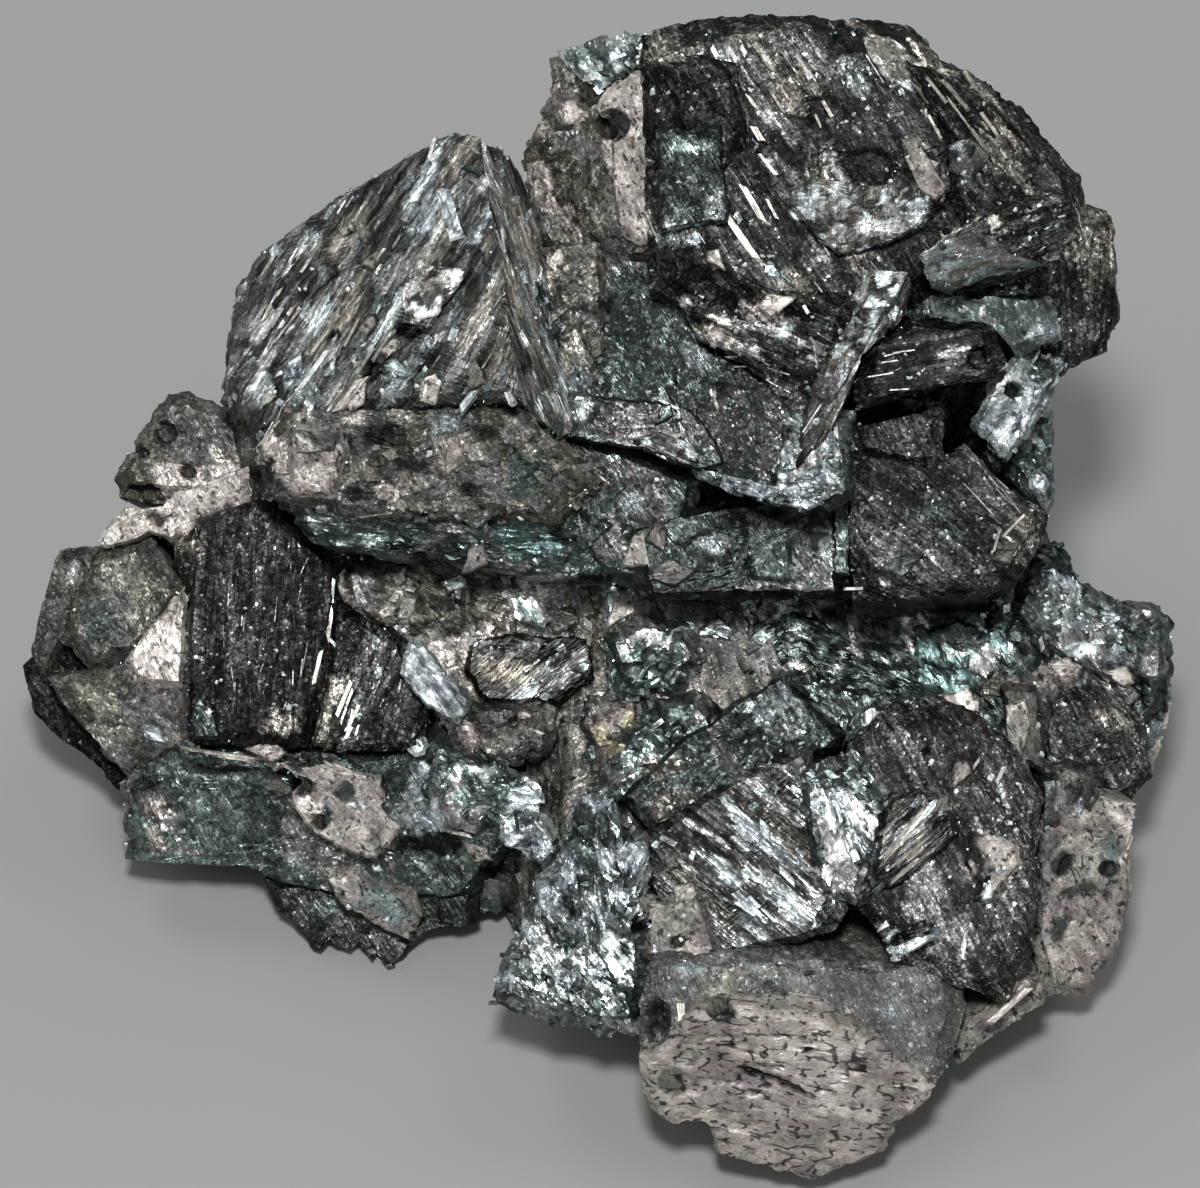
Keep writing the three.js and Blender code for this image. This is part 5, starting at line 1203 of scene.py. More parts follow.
def chipped(ring, seed, amount):
    """A ring with a broken edge: all its points in one small cell are moved by the same amount."""
    for size, reach in CHIPS:
        cells = np.floor(ring / size).astype(np.int64)
        stray = np.column_stack([hashed(cells, seed), hashed(cells, seed + 1)]) - 0.5
        ring = ring + amount * reach * stray
        seed += 2
    return ring


def seeing_spot(outline):
    """The spot of a grid over an outline that lies furthest inward of every edge's line."""
    low, high = outline.min(axis=0), outline.max(axis=0)
    spots = low + (high - low) * np.array(list(np.ndindex(EYE_GRID, EYE_GRID))) / (EYE_GRID - 1)
    edges = np.roll(outline, -1, axis=0) - outline
    inward = unit(np.column_stack([-edges[:, 1], edges[:, 0]]))
    depth = ((spots[:, None] - outline[None]) * inward[None]).sum(axis=2).min(axis=1)
    return spots[np.argmax(depth)]


def vertex_normals(points, triangles):
    """Unit normals at points: the sum of the area vectors of the triangles that meet there."""
    corners = points[triangles]
    areas = np.cross(corners[:, 1] - corners[:, 0], corners[:, 2] - corners[:, 0])
    normals = np.zeros_like(points)
    for corner in range(3):
        np.add.at(normals, triangles[:, corner], areas)
    return unit(normals, 1e-12)


def turned(flat, degrees):
    """Flat coordinates turned so that the first runs along the grain."""
    angle = math.radians(degrees)
    along = flat[:, 0] * math.cos(angle) + flat[:, 1] * math.sin(angle)
    across = flat[:, 1] * math.cos(angle) - flat[:, 0] * math.sin(angle)
    return np.column_stack([along, across])


def spots_on_face(loft, share, rng):
    """Random spots in the box of a loft's outline that lie inside it: points, normal, way of grain."""
    low, high = loft.outline.min(axis=0), loft.outline.max(axis=0)
    drawn = low + (high - low) * rng.random((rng.poisson(share * np.prod(high - low)), 2))
    drawn = drawn[in_polygon(drawn, loft.outline)]
    lean = np.asarray(loft.lean)
    angle = math.radians(loft.grain)
    run = np.array([math.cos(angle), math.sin(angle)])
    normal = np.array([-lean[0], -lean[1], 1.0])
    spots = loft.place(drawn - loft.middle, *loft.stations[0])
    return spots, normal @ loft.axes, np.array([*run, run @ lean]) @ loft.axes


def spots_on_quad(a, b, c, d, share, rng):
    """Random spots between an upper edge from a to b and a lower one from c to d, as above."""
    out = np.cross(c - a, b - a)
    area = np.linalg.norm(out)
    if area < 1e-6:
        return np.zeros((0, 3)), out, out
    s, t = rng.random((2, rng.poisson(share * area), 1))
    return (a * (1 - s) + b * s) * (1 - t) + (c * (1 - s) + d * s) * t, out / area, c - a


def face_points(loft, share, rng):
    """Random spots on a loft's face and sides: points, normals and the way that the grain runs."""
    found = [spots_on_face(loft, share, rng)]
    offsets = loft.outline - loft.middle
    for here, there in zip(loft.stations[:-1], loft.stations[1:]):
        top, foot = loft.place(offsets, *here), loft.place(offsets, *there)
        for quad in zip(top, np.roll(top, -1, axis=0), foot, np.roll(foot, -1, axis=0)):
            found.append(spots_on_quad(*quad, share, rng))
    spots, normals, runs = zip(*found)
    numbers = [len(some) for some in spots]
    return np.concatenate(spots), unit(np.repeat(normals, numbers, axis=0)), np.repeat(runs, numbers, axis=0)


def copies(points, along, up, x, y, z, faces):
    """Copies of a small shape: its corners at x, y and z along each one's own ways, and triangles."""
    places = points[:, None]
    for part, way in ((x, along), (y, np.cross(up, along)), (z, up)):
        places = places + part[..., None] * way[:, None]
    places[..., 2] = np.maximum(places[..., 2], 0.0)
    triangles = np.arange(len(points))[:, None, None] * places.shape[1] + faces
    return places.reshape(-1, 3), triangles.reshape(-1, 3)


def boxes(points, along, up, length, width, height, pinch, skew):
    """Blocks with narrowed tops that stand on points: corners, triangles and places on the grain.

    Corners are plus or minus half the length and width, sunk below the face and raised above it;
    the top is pinched each way, and the ends are skewed.
    """
    sink = SUNK + SUNK_SHARE * height
    corners = np.array(list(np.ndindex(2, 2, 2)))[:, ::-1] * 2 - 1
    sx, sy, sz = (corners[:, k][None, :] for k in range(3))
    top = sz > 0
    x = 0.5 * length[:, None] * sx * np.where(top, pinch[:, :1], 1) + skew[:, None] * sy
    y = 0.5 * width[:, None] * sy * np.where(top, pinch[:, 1:], 1)
    z = np.where(top, height[:, None], -sink[:, None])
    quads = np.array([(0, 2, 3, 1), (4, 5, 7, 6), (0, 1, 5, 4), (2, 6, 7, 3), (0, 4, 6, 2), (1, 3, 7, 5)])
    faces = np.concatenate([quads[:, (0, 1, 2)], quads[:, (0, 2, 3)]])
    return *copies(points, along, up, x, y, z, faces), np.stack([x, y + z], axis=-1)


def specks(points, along, up, size, rng):
    """Small many-sided bumps on points: a rim of random reach, a raised top and a sunk foot."""
    number = len(points)
    rim = np.arange(SIDES)
    angle = rim * math.tau / SIDES + rng.uniform(-0.3, 0.3, (number, SIDES))
    reach = 0.5 * size[:, None] * rng.uniform(0.5, 1.1, (number, SIDES))
    x = np.column_stack([reach * np.cos(angle), np.zeros((number, 2))])
    y = np.column_stack([0.8 * reach * np.sin(angle), np.zeros((number, 2))])
    z = np.column_stack([np.tile(-0.1, (number, SIDES)) * size[:, None], 0.25 * size, -0.3 - 0.5 * size])
    faces = np.concatenate([np.column_stack([rim, np.roll(rim, -1), np.full(SIDES, SIDES)]),
                            np.column_stack([np.roll(rim, -1), rim, np.full(SIDES, SIDES + 1)])])
    return *copies(points, along, up, x, y, z + 0.08, faces), np.stack([x, y], axis=-1)


def tilted(normals, runs, turn, tilt, rng):
    """Ways of length and up for blocks on a face: turned on it, then tilted, by random angles."""
    number = len(normals)
    turn = np.radians(rng.uniform(-turn, turn, number))[:, None]
    along = unit(runs - (runs * normals).sum(axis=1, keepdims=True) * normals, 1e-9)
    across = np.cross(normals, along)
    c, s = np.cos(turn), np.sin(turn)
    along, across = along * c + across * s, across * c - along * s
    lift = np.tan(np.radians(rng.uniform(-tilt, tilt, (number, 2))))
    along = unit(along + normals * lift[:, :1] * 0.4)
    up = normals - across * lift[:, 1:]
    return along, unit(up - (up * along).sum(axis=1, keepdims=True) * along)


def small_crystals(points, normals, runs, crust, loft, rng):
    """A small crystal at each spot, lying along the grain, with sizes drawn from the crust's limits."""
    number = len(points)
    along, up = tilted(normals, runs, crust.turn, crust.tilt, rng)

    def between(limits):
        return limits[0] * (limits[1] / limits[0]) ** rng.random(number)

    length, width, height = (between(pair) for pair in (crust.length, crust.width, crust.height))
    pinch = 0.6 + 0.35 * rng.random((number, 2))
    skew = rng.normal(0, 0.2, number) * width
    if crust is GLINTS:
        vertices, triangles, grain = specks(points, along, up, length, rng)
    else:
        vertices, triangles, grain = boxes(points, along, up, length, width, height, pinch, skew)
    tint = toned(crust.tones, rng.random(number)) * loft.shade
    if loft.shown and crust is not GLINTS:
        tint = painted(loft, loft.flat(points), tint, 0, 1)
    tint = np.clip(tint * rng.uniform(*TINT_SPREAD, (number, 1)), DARKEST, BRIGHTEST)
    return strewn(vertices, triangles, tint, grain, crust.finish, rng)


def strewn(vertices, triangles, tint, grain, finish, rng):
    """A patch of small crystals, each of one tint and with its own place on the patterns."""
    grain = grain + rng.random((len(grain), 1, 2)) * SHIFT
    tint = np.repeat(tint, grain.shape[1], axis=0)
    return Patch(vertices, triangles, tint, grain.reshape(-1, 2), finish, False)


def crusted(loft, seed, density):
    """The small crystals of a loft's look, without those that are buried or fill a hole."""
    rng = np.random.default_rng(seed)
    patches = []
    for crust in loft.look.crusts:
        points, normals, runs = face_points(loft, crust.share * density, rng)
        seen = ~buried(points, normals, loft)
        if loft.shown:
            if crust.length[1] > 2:
                way = 0.3 * crust.length[1] * unit(runs)
                for end in (points - way, points + way):
                    seen &= in_polygon(loft.flat(end), loft.outline)
            flat = loft.flat(points)
            for *ellipse, _ in near_outline(loft, HOLES):
                seen &= outness(flat, *ellipse) > HOLE_CLEAR
        patches.append(small_crystals(points[seen], normals[seen], runs[seen], crust, loft, rng))
    return patches


def drifted(rows, rng):
    """Laths drawn at random in each drift: their ends, width, brightness and hue."""
    laths = []
    for u, v, half_u, half_v, number, angle, length, width, brightness, hue in rows:
        middle = np.array([u, v]) + rng.uniform(-1, 1, (number, 2)) * (half_u, half_v)
        turn = np.radians(angle + rng.normal(0, DRIFT_TURN, number))
        way = np.column_stack([np.cos(turn), np.sin(turn)])
        half = 0.5 * length * rng.uniform(*DRIFT_LENGTHS, (number, 1)) * way
        size, light = rng.uniform(*DRIFT_SIZES, (2, number))
        laths += [(*a, *b, width * c, brightness * d, hue)
                  for a, b, c, d in zip(middle - half, middle + half, size, light)]
    return laths


def sprayed(rows, rng):
    """Painted glints drawn at random in each spray: u, v and size."""
    sparks = []
    for u, v, half_u, half_v, number, size in rows:
        middle = np.array([u, v]) + rng.uniform(-1, 1, (number, 2)) * (half_u, half_v)
        scales = rng.uniform(*DRIFT_SIZES, number)
        sparks += [(*spot, size * scale) for spot, scale in zip(middle, scales)]
    return sparks


def lying(run, leans, turn, tilt, rng):
    """Ways of length and up, in the floor frame, of things that lie along a run on leaning faces."""
    normals = unit(np.column_stack([-leans, np.ones(len(leans))]))
    runs = np.column_stack([run, (run * leans).sum(axis=1)])
    along, up = tilted(normals, runs, turn, tilt, rng)
    axes, _ = display_axes()
    return along @ axes, up @ axes


def lath_patch(rows, points, leans, rng):
    """Laths on faces, from their rows in the table."""
    run = np.array([(row[2] - row[0], row[3] - row[1]) for row in rows])
    along, up = lying(run, leans, 0, 2, rng)
    width = LATH_WIDTH * np.array([row[4] for row in rows])
    height = LATH_HEIGHT + LATH_RISE * width
    pinch = 0.75 + 0.25 * rng.random((len(rows), 2))
    skew = rng.normal(0, 0.5, len(rows)) * width
    length = np.linalg.norm(run, axis=1)
    vertices, triangles, grain = boxes(points, along, up, length, width, height, pinch, skew)
    tint = np.array([np.array(row[6]) * row[5] * TONE for row in rows])
    return strewn(vertices, triangles, tint, grain, "lath", rng)


def painted_glint_patch(rows, points, leans, rng):
    """Painted glints on faces: small specks tinted near white, from their rows in the table."""
    along, up = lying(rng.normal(0, 1, (len(rows), 2)), leans, 90, 12, rng)
    size = FACET_SIZE * np.array([row[2] for row in rows])
    vertices, triangles, grain = specks(points, along, up, size, rng)
    # painted highlight: the specks are tinted near white
    tint = np.array(FROST) * rng.uniform(*GLINT_PAINT_TINT, (len(rows), 1))
    return strewn(vertices, triangles, tint, grain, "glint", rng)


def laid_out(group, seed):
    """The laths and the painted glints of the display side that lie on a group's crystals."""
    rng = np.random.default_rng(seed)
    scatter = np.random.default_rng(SCATTER)
    laths = [*LATHS, *drifted(DRIFTS, scatter)]
    painted_glints = [*SPARKS, *sprayed(SPRAYS, scatter)]
    middles = [((a + c) / 2, (b + d) / 2) for a, b, c, d, *_ in laths]
    places = [(u, v) for u, v, _ in painted_glints]
    axes, origin = display_axes()
    patches = []
    for make, rows, spots in ((lath_patch, laths, middles), (painted_glint_patch, painted_glints, places)):
        spots = np.array(spots)
        owners, high = topmost(spots)
        mine = [index for index, (name, _) in enumerate(owners) if name == group]
        if mine:
            leans = np.array([owners[index][1].lean for index in mine])
            points = origin + np.column_stack([spots, high])[mine] @ axes
            patches.append(make([rows[index] for index in mine], points, leans, rng))
    return patches


def linked(name, data):
    """A new object of the scene for a mesh, light or camera."""
    made = bpy.data.objects.new(name, data)
    bpy.context.scene.collection.objects.link(made)
    return made


def add_piece(name, patches):
    """Joins patches into one mesh object in metres, rides it on the body and hides the plain solid."""
    starts = np.cumsum([0] + [len(patch.vertices) for patch in patches[:-1]])
    vertices = np.concatenate([patch.vertices for patch in patches]) * MM
    triangles = np.concatenate([patch.triangles + start for patch, start in zip(patches, starts)])
    finishes = sorted({patch.finish for patch in patches})
    index = np.concatenate([np.full(len(p.triangles), finishes.index(p.finish)) for p in patches])
    smooth = np.concatenate([np.full(len(p.triangles), p.smooth) for p in patches])
    tint = np.concatenate([patch.tint for patch in patches])
    grain = np.concatenate([patch.grain for patch in patches])

    mesh = bpy.data.meshes.new(name)
    mesh.vertices.add(len(vertices))
    mesh.vertices.foreach_set("co", vertices.ravel())
    mesh.loops.add(triangles.size)
    mesh.loops.foreach_set("vertex_index", triangles.ravel())
    mesh.polygons.add(len(triangles))
    mesh.polygons.foreach_set("loop_start", np.arange(len(triangles)) * 3)
    mesh.polygons.foreach_set("material_index", index)
    mesh.polygons.foreach_set("use_smooth", smooth)
    for finish in finishes:
        mesh.materials.append(FINISHES[finish]())
    colour = mesh.color_attributes.new("tint", "FLOAT_COLOR", "POINT")
    colour.data.foreach_set("color", np.column_stack([tint, np.ones(len(tint))]).ravel())
    layer = mesh.uv_layers.new(name="grain")
    layer.data.foreach_set("uv", grain[triangles.ravel()].ravel())
    mesh.update(calc_edges=True)
    mesh.validate()
    mesh.set_sharp_from_angle(angle=math.radians(SHARP_ANGLE))

    piece = linked(name, mesh)
    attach(piece, BODY)
    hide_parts(NODE)


# ---- Materials


def put(tree, socket, value):
    """Links a socket to the one given, or sets it to the value given."""
    if isinstance(value, bpy.types.NodeSocket):
        tree.links.new(value, socket)
    elif value is not None:
        socket.default_value = value


def node(tree, kind, **inputs):
    """A node with some inputs linked or set."""
    made = tree.nodes.new(kind)
    for key, value in inputs.items():
        put(tree, made.inputs[key.replace("_", " ")], value)
    return made


def math_node(tree, operation, first, second):
    """A Math node's result for two sockets or numbers."""
    made = tree.nodes.new("ShaderNodeMath")
    made.operation = operation
    put(tree, made.inputs[0], first)
    put(tree, made.inputs[1], second)
    return made.outputs["Value"]


def vector_node(tree, operation, first, second=None):
    """A Vector Math node's result for a socket and a second socket, number or set of three numbers."""
    made = tree.nodes.new("ShaderNodeVectorMath")
    made.operation = operation
    put(tree, made.inputs[0], first)
    put(tree, made.inputs["Scale"] if operation == "SCALE" else made.inputs[1], second)
    return made.outputs["Vector"]


def ranged(tree, value, source, target):
    """A Map Range node's result: the value carried from one pair of limits to another."""
    made = node(tree, "ShaderNodeMapRange", Value=value)
    for key, limit in zip(("From Min", "From Max", "To Min", "To Max"), (*source, *target)):
        made.inputs[key].default_value = limit
    return made.outputs["Result"]


def voronoi(tree, vector, scale, mapping=None):
    """A Voronoi texture node over a vector, which can first be scaled each way."""
    if mapping:
        vector = node(tree, "ShaderNodeMapping", Vector=vector, Scale=mapping).outputs["Vector"]
    return node(tree, "ShaderNodeTexVoronoi", Vector=vector, Scale=scale)


def crack_shade(tree, place, way, cracks):
    """How bright cracks are: dark at the edges of long cells, where these aren't broken by noise."""
    edges = voronoi(tree, way, 1.0, CRACKS)
    edges.feature = "DISTANCE_TO_EDGE"
    thin = ranged(tree, edges.outputs["Distance"], CRACK_EDGE, (1, 0))
    broken = node(tree, "ShaderNodeTexNoise", Vector=place, Scale=1.0, Detail=1.0).outputs["Fac"]
    broken = ranged(tree, broken, [limit - 0.1 * cracks for limit in CRACK_NOISE], (0, 1))
    return ranged(tree, math_node(tree, "MULTIPLY", thin, broken), (0, 1), (1, CRACK_TONE))


def mineral(name, metallic, roughness, speckle, glitter, streak, grit, flecks_and_glints=(0, 1), dashes=(0, 1),
            specular=0.3, painted_sparkle=(0, 1), cracks=0.0):
    """A mineral finish over the piece's tint.

    Small cells, about a third of a millimetre over the piece's own coordinates and drawn out along
    the grain on its grain map, each have a brightness of their own and a slight turn of the normal,
    as the faces of a fine crust have. A share of the cells have a stronger change: where they are
    brightened many times over they are painted glints, and where darkened they are dark spots. A share
    of those along the grain are dashes, with a stronger change. Cracks are the dark edges of long
    cells, broken by noise. Cloudy noise turns the roughness between its two limits.
    """
    if name in bpy.data.materials:
        return bpy.data.materials[name]
    material = bpy.data.materials.new(name)
    material.use_nodes = True
    tree = material.node_tree
    tree.nodes.clear()
    output = tree.nodes.new("ShaderNodeOutputMaterial")
    shader = node(tree, "ShaderNodeBsdfPrincipled", Metallic=metallic, Specular_IOR_Level=specular)
    tree.links.new(shader.outputs["BSDF"], output.inputs["Surface"])

    tint = tree.nodes.new("ShaderNodeAttribute")
    tint.attribute_name = "tint"
    grain = tree.nodes.new("ShaderNodeUVMap")
    grain.uv_map = "grain"
    place = tree.nodes.new("ShaderNodeTexCoord").outputs["Object"]
    place = node(tree, "ShaderNodeMapping", Vector=place, Scale=(1000, 1000, 1000)).outputs["Vector"]
    drift = node(tree, "ShaderNodeTexNoise", Vector=place, Scale=0.7, Detail=2.0).outputs["Color"]
    shift = vector_node(tree, "SCALE", vector_node(tree, "SUBTRACT", drift, HALFWAY), WAVER)
    way = vector_node(tree, "ADD", grain.outputs["UV"], shift)

    cells = voronoi(tree, place, CELLS)
    dust = voronoi(tree, place, DUST)
    lines = voronoi(tree, way, 1.0, LINES)
    bands = voronoi(tree, way, 1.0, BANDS)
    clouds = node(tree, "ShaderNodeTexNoise", Vector=place, Scale=0.9, Detail=4.0).outputs["Fac"]

    strength = 1.0
    for pattern, amount, (share, factor) in (
            (cells, speckle, flecks_and_glints), (dust, speckle, painted_sparkle), (lines, streak, dashes),
            (bands, streak, (0, 1))):
        parts = node(tree, "ShaderNodeSeparateColor", Color=pattern.outputs["Color"])
        even = ranged(tree, parts.outputs["Red"], (0, 1), (-1, 1))
        varied = math_node(tree, "POWER", 1 + CELL_CONTRAST * amount, even)
        strength = math_node(tree, "MULTIPLY", varied, strength)
        if share > 0:
            chosen = ranged(tree, parts.outputs["Blue"], (1 - share, 1 - share + 0.01), (1, factor))
            strength = math_node(tree, "MULTIPLY", chosen, strength)
    if cracks > 0:
        calm = vector_node(tree, "ADD", grain.outputs["UV"], vector_node(tree, "SCALE", shift, 0.5))
        strength = math_node(tree, "MULTIPLY", crack_shade(tree, place, calm, cracks), strength)
    coloured = vector_node(tree, "SCALE", tint.outputs["Color"], strength)
    put(tree, shader.inputs["Base Color"], vector_node(tree, "MINIMUM", coloured, PALEST))
    put(tree, shader.inputs["Roughness"], ranged(tree, clouds, ROUGH_CLOUDS, roughness))

    bump = node(tree, "ShaderNodeBump", Height=lines.outputs["Distance"], Strength=1.0, Distance=grit * MM)
    normal = bump.outputs["Normal"]
    for pattern, amount in ((cells, glitter), (dust, 0.6 * glitter), (lines, glitter * streak)):
        centred = vector_node(tree, "SUBTRACT", pattern.outputs["Color"], HALFWAY)
        normal = vector_node(tree, "ADD", normal, vector_node(tree, "SCALE", centred, amount))
    put(tree, shader.inputs["Normal"], vector_node(tree, "NORMALIZE", normal))
    return material


# Where a finish brightens a share of its cells many times over, these are painted glints in the base colour;
# where it darkens them, they are dark spots.
FINISHES = {
    "steel": lambda: mineral(
        "steel_crust", 0.8, (0.25, 0.45), 0.28, 0.18, 0.15, 0.03, flecks_and_glints=(0.03, 2.5), painted_sparkle=(0.015, 3.0)),
    "striated": lambda: mineral(
        "striated_faces", 0.8, (0.25, 0.45), 0.2, 0.12, 0.55, 0.05, dashes=(0.05, 2.2), painted_sparkle=(0.02, 3.0)),
    "mirror": lambda: mineral(
        "mirror_faces", 0.4, (0.35, 0.6), 0.85, 0.15, 0.6, 0.03, flecks_and_glints=(0.03, 6.0), dashes=(0.015, 3.0),
        specular=0.06, painted_sparkle=(0.02, 7.0)),
    "plate": lambda: mineral("smooth_plates", 0.6, (0.3, 0.45), 0.3, 0.15, 0.3, 0.03),
    "cleaved": lambda: mineral(
        "cleaved_faces", 0.3, (0.35, 0.55), 0.25, 0.12, 0.06, 0.03, flecks_and_glints=(0.05, 0.25), cracks=0.35),
    "cracked": lambda: mineral(
        "cracked_faces", 0.3, (0.35, 0.55), 0.12, 0.1, 0.06, 0.03, flecks_and_glints=(0.015, 0.3), dashes=(0.02, 0.3),
        cracks=1.0),
    "matrix": lambda: mineral(
        "matrix_grains", 0.45, (0.35, 0.6), 0.4, 0.25, 0.1, 0.05, flecks_and_glints=(0.03, 2.5), painted_sparkle=(0.02, 3.0)),
    "lath": lambda: mineral("bright_laths", 0.4, (0.3, 0.45), 0.2, 0.1, 0.4, 0.02),
    # the near-white tints that this finish shows on bright specks and glitter are painted glints
    "glint": lambda: mineral("painted_glint_facets", 0.4, (0.2, 0.4), 0.4, 0.4, 0.1, 0.02),
}


def floor_material(name, colour, roughness):
    """A plain floor, faintly mottled, whose colour turns far away to a much paler one: painted light where
    the lamps' light falls off.
    """
    material = bpy.data.materials.new(name)
    material.use_nodes = True
    tree = material.node_tree
    shader = tree.nodes["Principled BSDF"]
    shader.inputs["Roughness"].default_value = roughness
    place = tree.nodes.new("ShaderNodeTexCoord").outputs["Object"]
    mottle = node(tree, "ShaderNodeTexNoise", Vector=place, Scale=9.0, Detail=3.0).outputs["Fac"]
    near = vector_node(tree, "SCALE", tuple(colour), ranged(tree, mottle, (0, 1), FLOOR_MOTTLE))
    ball = node(tree, "ShaderNodeMapping", Vector=place, Scale=FLOOR_BALL).outputs["Vector"]
    ball = node(tree, "ShaderNodeTexGradient", Vector=ball)
    ball.gradient_type = "SPHERICAL"
    share = ranged(tree, ball.outputs["Fac"], FLOOR_FADE, (0, 1))
    # painted light: the floor turns paler far away, where the lamps light it less
    mixed = node(tree, "ShaderNodeMixRGB", Fac=share, Color1=FAR_FLOOR_PAINTED_LIGHT, Color2=near)
    put(tree, shader.inputs["Base Color"], mixed.outputs["Color"])
    return material


# ---- Settings, operators and panel


class SpecimenSettings(bpy.types.PropertyGroup):
    """Sizes and strengths of the specimen's surface."""

    step: bpy.props.FloatProperty(
        name="Surface step", description="Spacing of points on a crystal's face", default=0.36 * MM,
        min=0.1 * MM, unit="LENGTH")
    density: bpy.props.FloatProperty(
        name="Crust density", description="Small crystals against the usual number", default=1.0, min=0.0)
    seed: bpy.props.IntProperty(name="Seed", description="Start of every random draw", default=11)


class StudioSettings(bpy.types.PropertyGroup):
    """The floor, the lights and the camera."""

    floor_colour: bpy.props.FloatVectorProperty(
        name="Floor", description="Colour of the pale floor", subtype="COLOR", default=(0.215, 0.215, 0.215),
        min=0, max=1)
    key_power: bpy.props.FloatProperty(
        name="Key light", description="Power of the soft light above the camera", default=13.0, unit="POWER")
    camera_distance: bpy.props.FloatProperty(
        name="Camera distance", description="From the camera to the specimen", default=1.0, unit="LENGTH")
    camera_elevation: bpy.props.FloatProperty(
        name="Camera elevation", description="Height of the view above the horizon",
        default=math.radians(90 - DISPLAY_TILT), subtype="ANGLE")
    view_width: bpy.props.FloatProperty(
        name="View width", description="Width that the picture shows at the specimen", default=0.12,
        unit="LENGTH")


def build_groups(context, *groups):
    """Makes each group of crystals, with their small crystals, as one piece."""
    settings = context.scene.specimen
    for group in groups:
        patches = []
        first = settings.seed + 1000 * list(LOFTS).index(group)
        for number, loft in enumerate(LOFTS[group]):
            patches.append(loft_surface(loft, first + 100 * number, settings.step / MM))
            patches += crusted(loft, first + 100 * number, settings.density)
        add_piece(group, patches + laid_out(group, first))
    return {"FINISHED"}


class SPECIMEN_OT_upper_crystals(bpy.types.Operator):
    """Build the great dark crystal, its neighbours and the wedge crystal"""

    bl_idname = "specimen.upper_crystals"
    bl_label = "Upper Crystals"

    def execute(self, context):
        return build_groups(
            context, "great_crystal", "left_of_great_crystal", "right_of_great_crystal", "wedge_crystal")


class SPECIMEN_OT_middle_crystals(bpy.types.Operator):
    """Build the middle blocks, centre plate, ledge and middle band"""

    bl_idname = "specimen.middle_crystals"
    bl_label = "Middle Crystals"

    def execute(self, context):
        return build_groups(context, "middle_blocks", "centre_plate", "ledge", "middle_band")


class SPECIMEN_OT_left_crystals(bpy.types.Operator):
    """Build the left group and the slab under it"""

    bl_idname = "specimen.left_crystals"
    bl_label = "Left Crystals"

    def execute(self, context):
        return build_groups(context, "left_group", "slab")


class SPECIMEN_OT_lower_crystals(bpy.types.Operator):
    """Build the teal block, the lower and bottom crystals and the right lobe"""

    bl_idname = "specimen.lower_crystals"
    bl_label = "Lower Crystals"

    def execute(self, context):
        return build_groups(context, "teal_block", "lower_crystal", "bottom_crystal", "right_lobe")


class SPECIMEN_OT_matrix_lumps(bpy.types.Operator):
    """Build the matrix lumps and the broken base"""

    bl_idname = "specimen.matrix_lumps"
    bl_label = "Matrix"

    def execute(self, context):
        return build_groups(context, "matrix")


class SPECIMEN_OT_back_prisms(bpy.types.Operator):
    """Build the stout crystals of the back"""

    bl_idname = "specimen.back_prisms"
    bl_label = "Back Crystals"

    def execute(self, context):
        return build_groups(context, "back_crystals")


GROUP_OPERATORS = (
    SPECIMEN_OT_upper_crystals, SPECIMEN_OT_middle_crystals, SPECIMEN_OT_left_crystals,
    SPECIMEN_OT_lower_crystals, SPECIMEN_OT_matrix_lumps, SPECIMEN_OT_back_prisms,
)


def around(azimuth, elevation, distance, target):
    """A place at a distance from a target; azimuth 0 is on its -Y side, in degrees."""
    a, e = math.radians(azimuth), math.radians(elevation)
    way = np.array([math.sin(a) * math.cos(e), -math.cos(a) * math.cos(e), math.sin(e)])
    return tuple(np.asarray(target) + way * distance)


def area_light(target, name, azimuth, elevation, distance, size, power):
    """A square light of a size, aimed at a target, which no camera sees."""
    data = bpy.data.lights.new(name, "AREA")
    data.shape = "SQUARE"
    data.size = size
    data.energy = power
    light = linked(name, data)
    light.location = around(azimuth, elevation, distance, target)
    light.rotation_euler = (math.radians(90 - elevation), 0, math.radians(azimuth))
    light.visible_camera = False


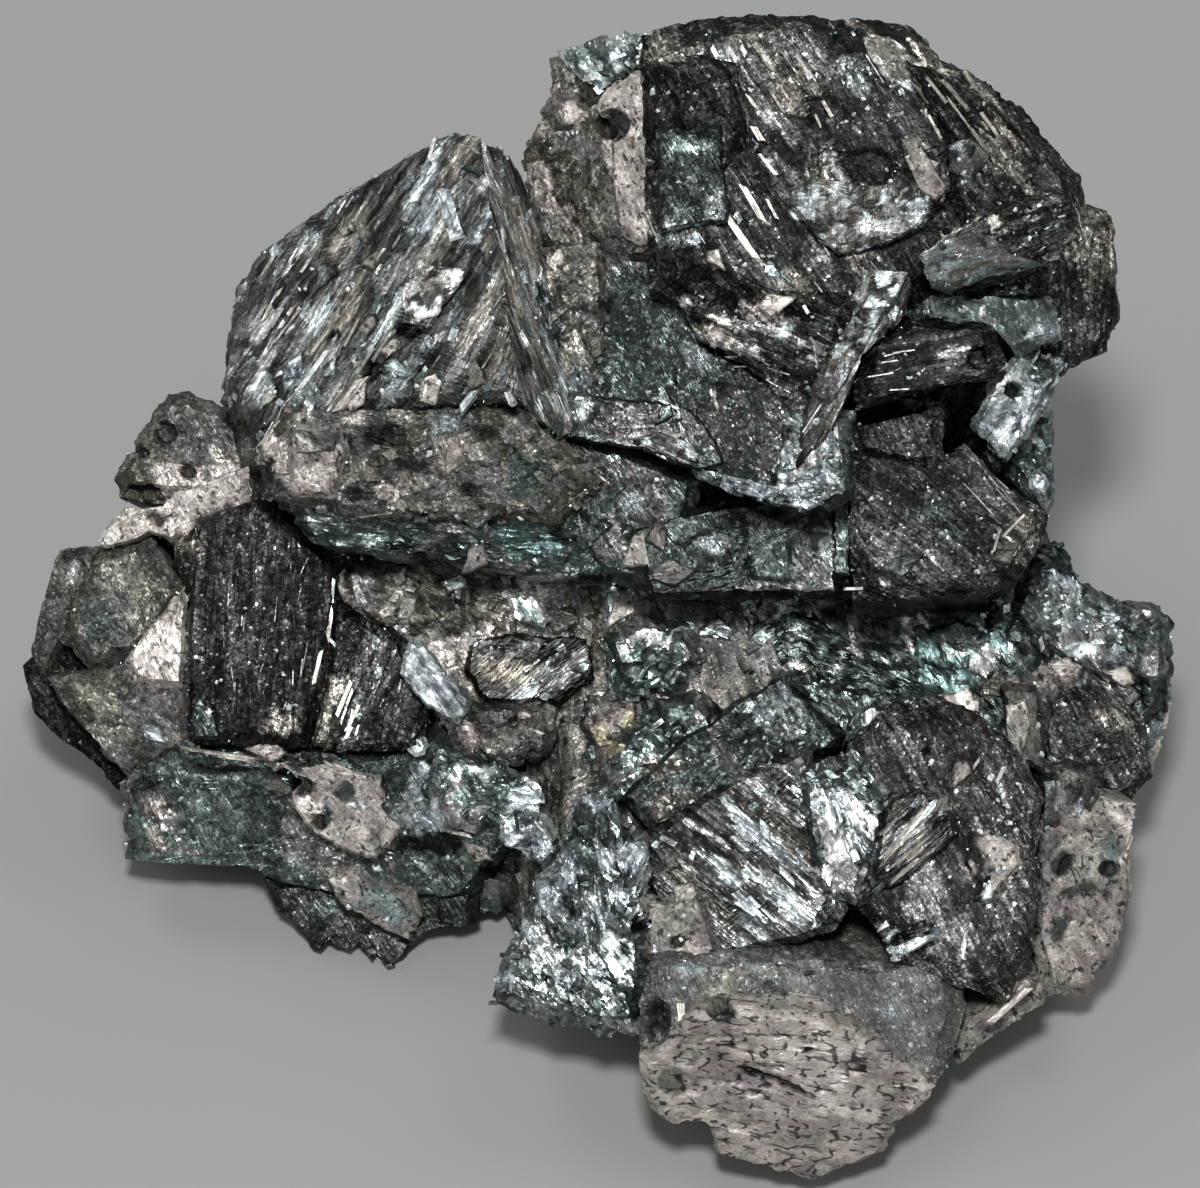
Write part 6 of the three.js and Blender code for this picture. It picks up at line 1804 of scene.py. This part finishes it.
class SPECIMEN_OT_stage(bpy.types.Operator):
    """Build the floor, the lights, the surroundings and the camera"""

    bl_idname = "specimen.stage"
    bl_label = "Stage"

    def execute(self, context):
        settings = context.scene.studio
        scene = context.scene
        target = (TO_CENTRE[0] * MM, TO_CENTRE[1] * MM, DISPLAY_HEIGHT * MM)
        mesh = bpy.data.meshes.new("floor")
        corners = FLOOR_HALF * np.array([(-1, -1, 0), (1, -1, 0), (1, 1, 0), (-1, 1, 0)])
        mesh.from_pydata(corners, [], [(0, 1, 2, 3)])
        mesh.materials.append(floor_material("pale_floor", settings.floor_colour, FLOOR_ROUGHNESS))
        floor = linked("floor", mesh)

        for light in ((*KEY_LIGHT, settings.key_power), *LIGHTS):
            area_light(target, *light)

        world = bpy.data.worlds.new("studio")
        world.use_nodes = True
        background = world.node_tree.nodes["Background"]
        background.inputs["Color"].default_value = SURROUNDINGS
        background.inputs["Strength"].default_value = GLOW
        scene.world = world
        scene.view_settings.view_transform = "Standard"

        data = bpy.data.cameras.new("camera")
        data.sensor_width = SENSOR
        data.lens = SENSOR * settings.camera_distance / settings.view_width
        data.clip_start = CLIP
        camera = linked("camera", data)
        elevation = settings.camera_elevation
        camera.location = around(0, math.degrees(elevation), settings.camera_distance, target)
        camera.rotation_euler = (math.pi / 2 - elevation, 0, 0)
        scene.camera = camera
        return {"FINISHED"}


class SPECIMEN_PT_sidebar(bpy.types.Panel):
    """The specimen's settings and its steps"""

    bl_label = "Arsenopyrite Specimen"
    bl_space_type = "VIEW_3D"
    bl_region_type = "UI"
    bl_category = "Specimen"

    def draw(self, context):
        for settings in (context.scene.specimen, context.scene.studio):
            for name in settings.__annotations__:
                self.layout.prop(settings, name)
        for operator in (*GROUP_OPERATORS, SPECIMEN_OT_stage):
            self.layout.operator(operator.bl_idname)


CLASSES = (SpecimenSettings, StudioSettings, *GROUP_OPERATORS, SPECIMEN_OT_stage, SPECIMEN_PT_sidebar)


def register():
    """Adds the classes and the two groups of settings."""
    for item in CLASSES:
        bpy.utils.register_class(item)
    bpy.types.Scene.specimen = bpy.props.PointerProperty(type=SpecimenSettings)
    bpy.types.Scene.studio = bpy.props.PointerProperty(type=StudioSettings)


def unregister():
    """Takes away what register adds."""
    del bpy.types.Scene.studio
    del bpy.types.Scene.specimen
    for item in reversed(CLASSES):
        bpy.utils.unregister_class(item)


def main():
    """Builds the stage and every piece."""
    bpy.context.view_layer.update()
    register()
    bpy.ops.specimen.stage()
    bpy.ops.specimen.upper_crystals()
    bpy.ops.specimen.middle_crystals()
    bpy.ops.specimen.left_crystals()
    bpy.ops.specimen.lower_crystals()
    bpy.ops.specimen.matrix_lumps()
    bpy.ops.specimen.back_prisms()
    bpy.context.view_layer.update()


if __name__ == "__main__":
    main()
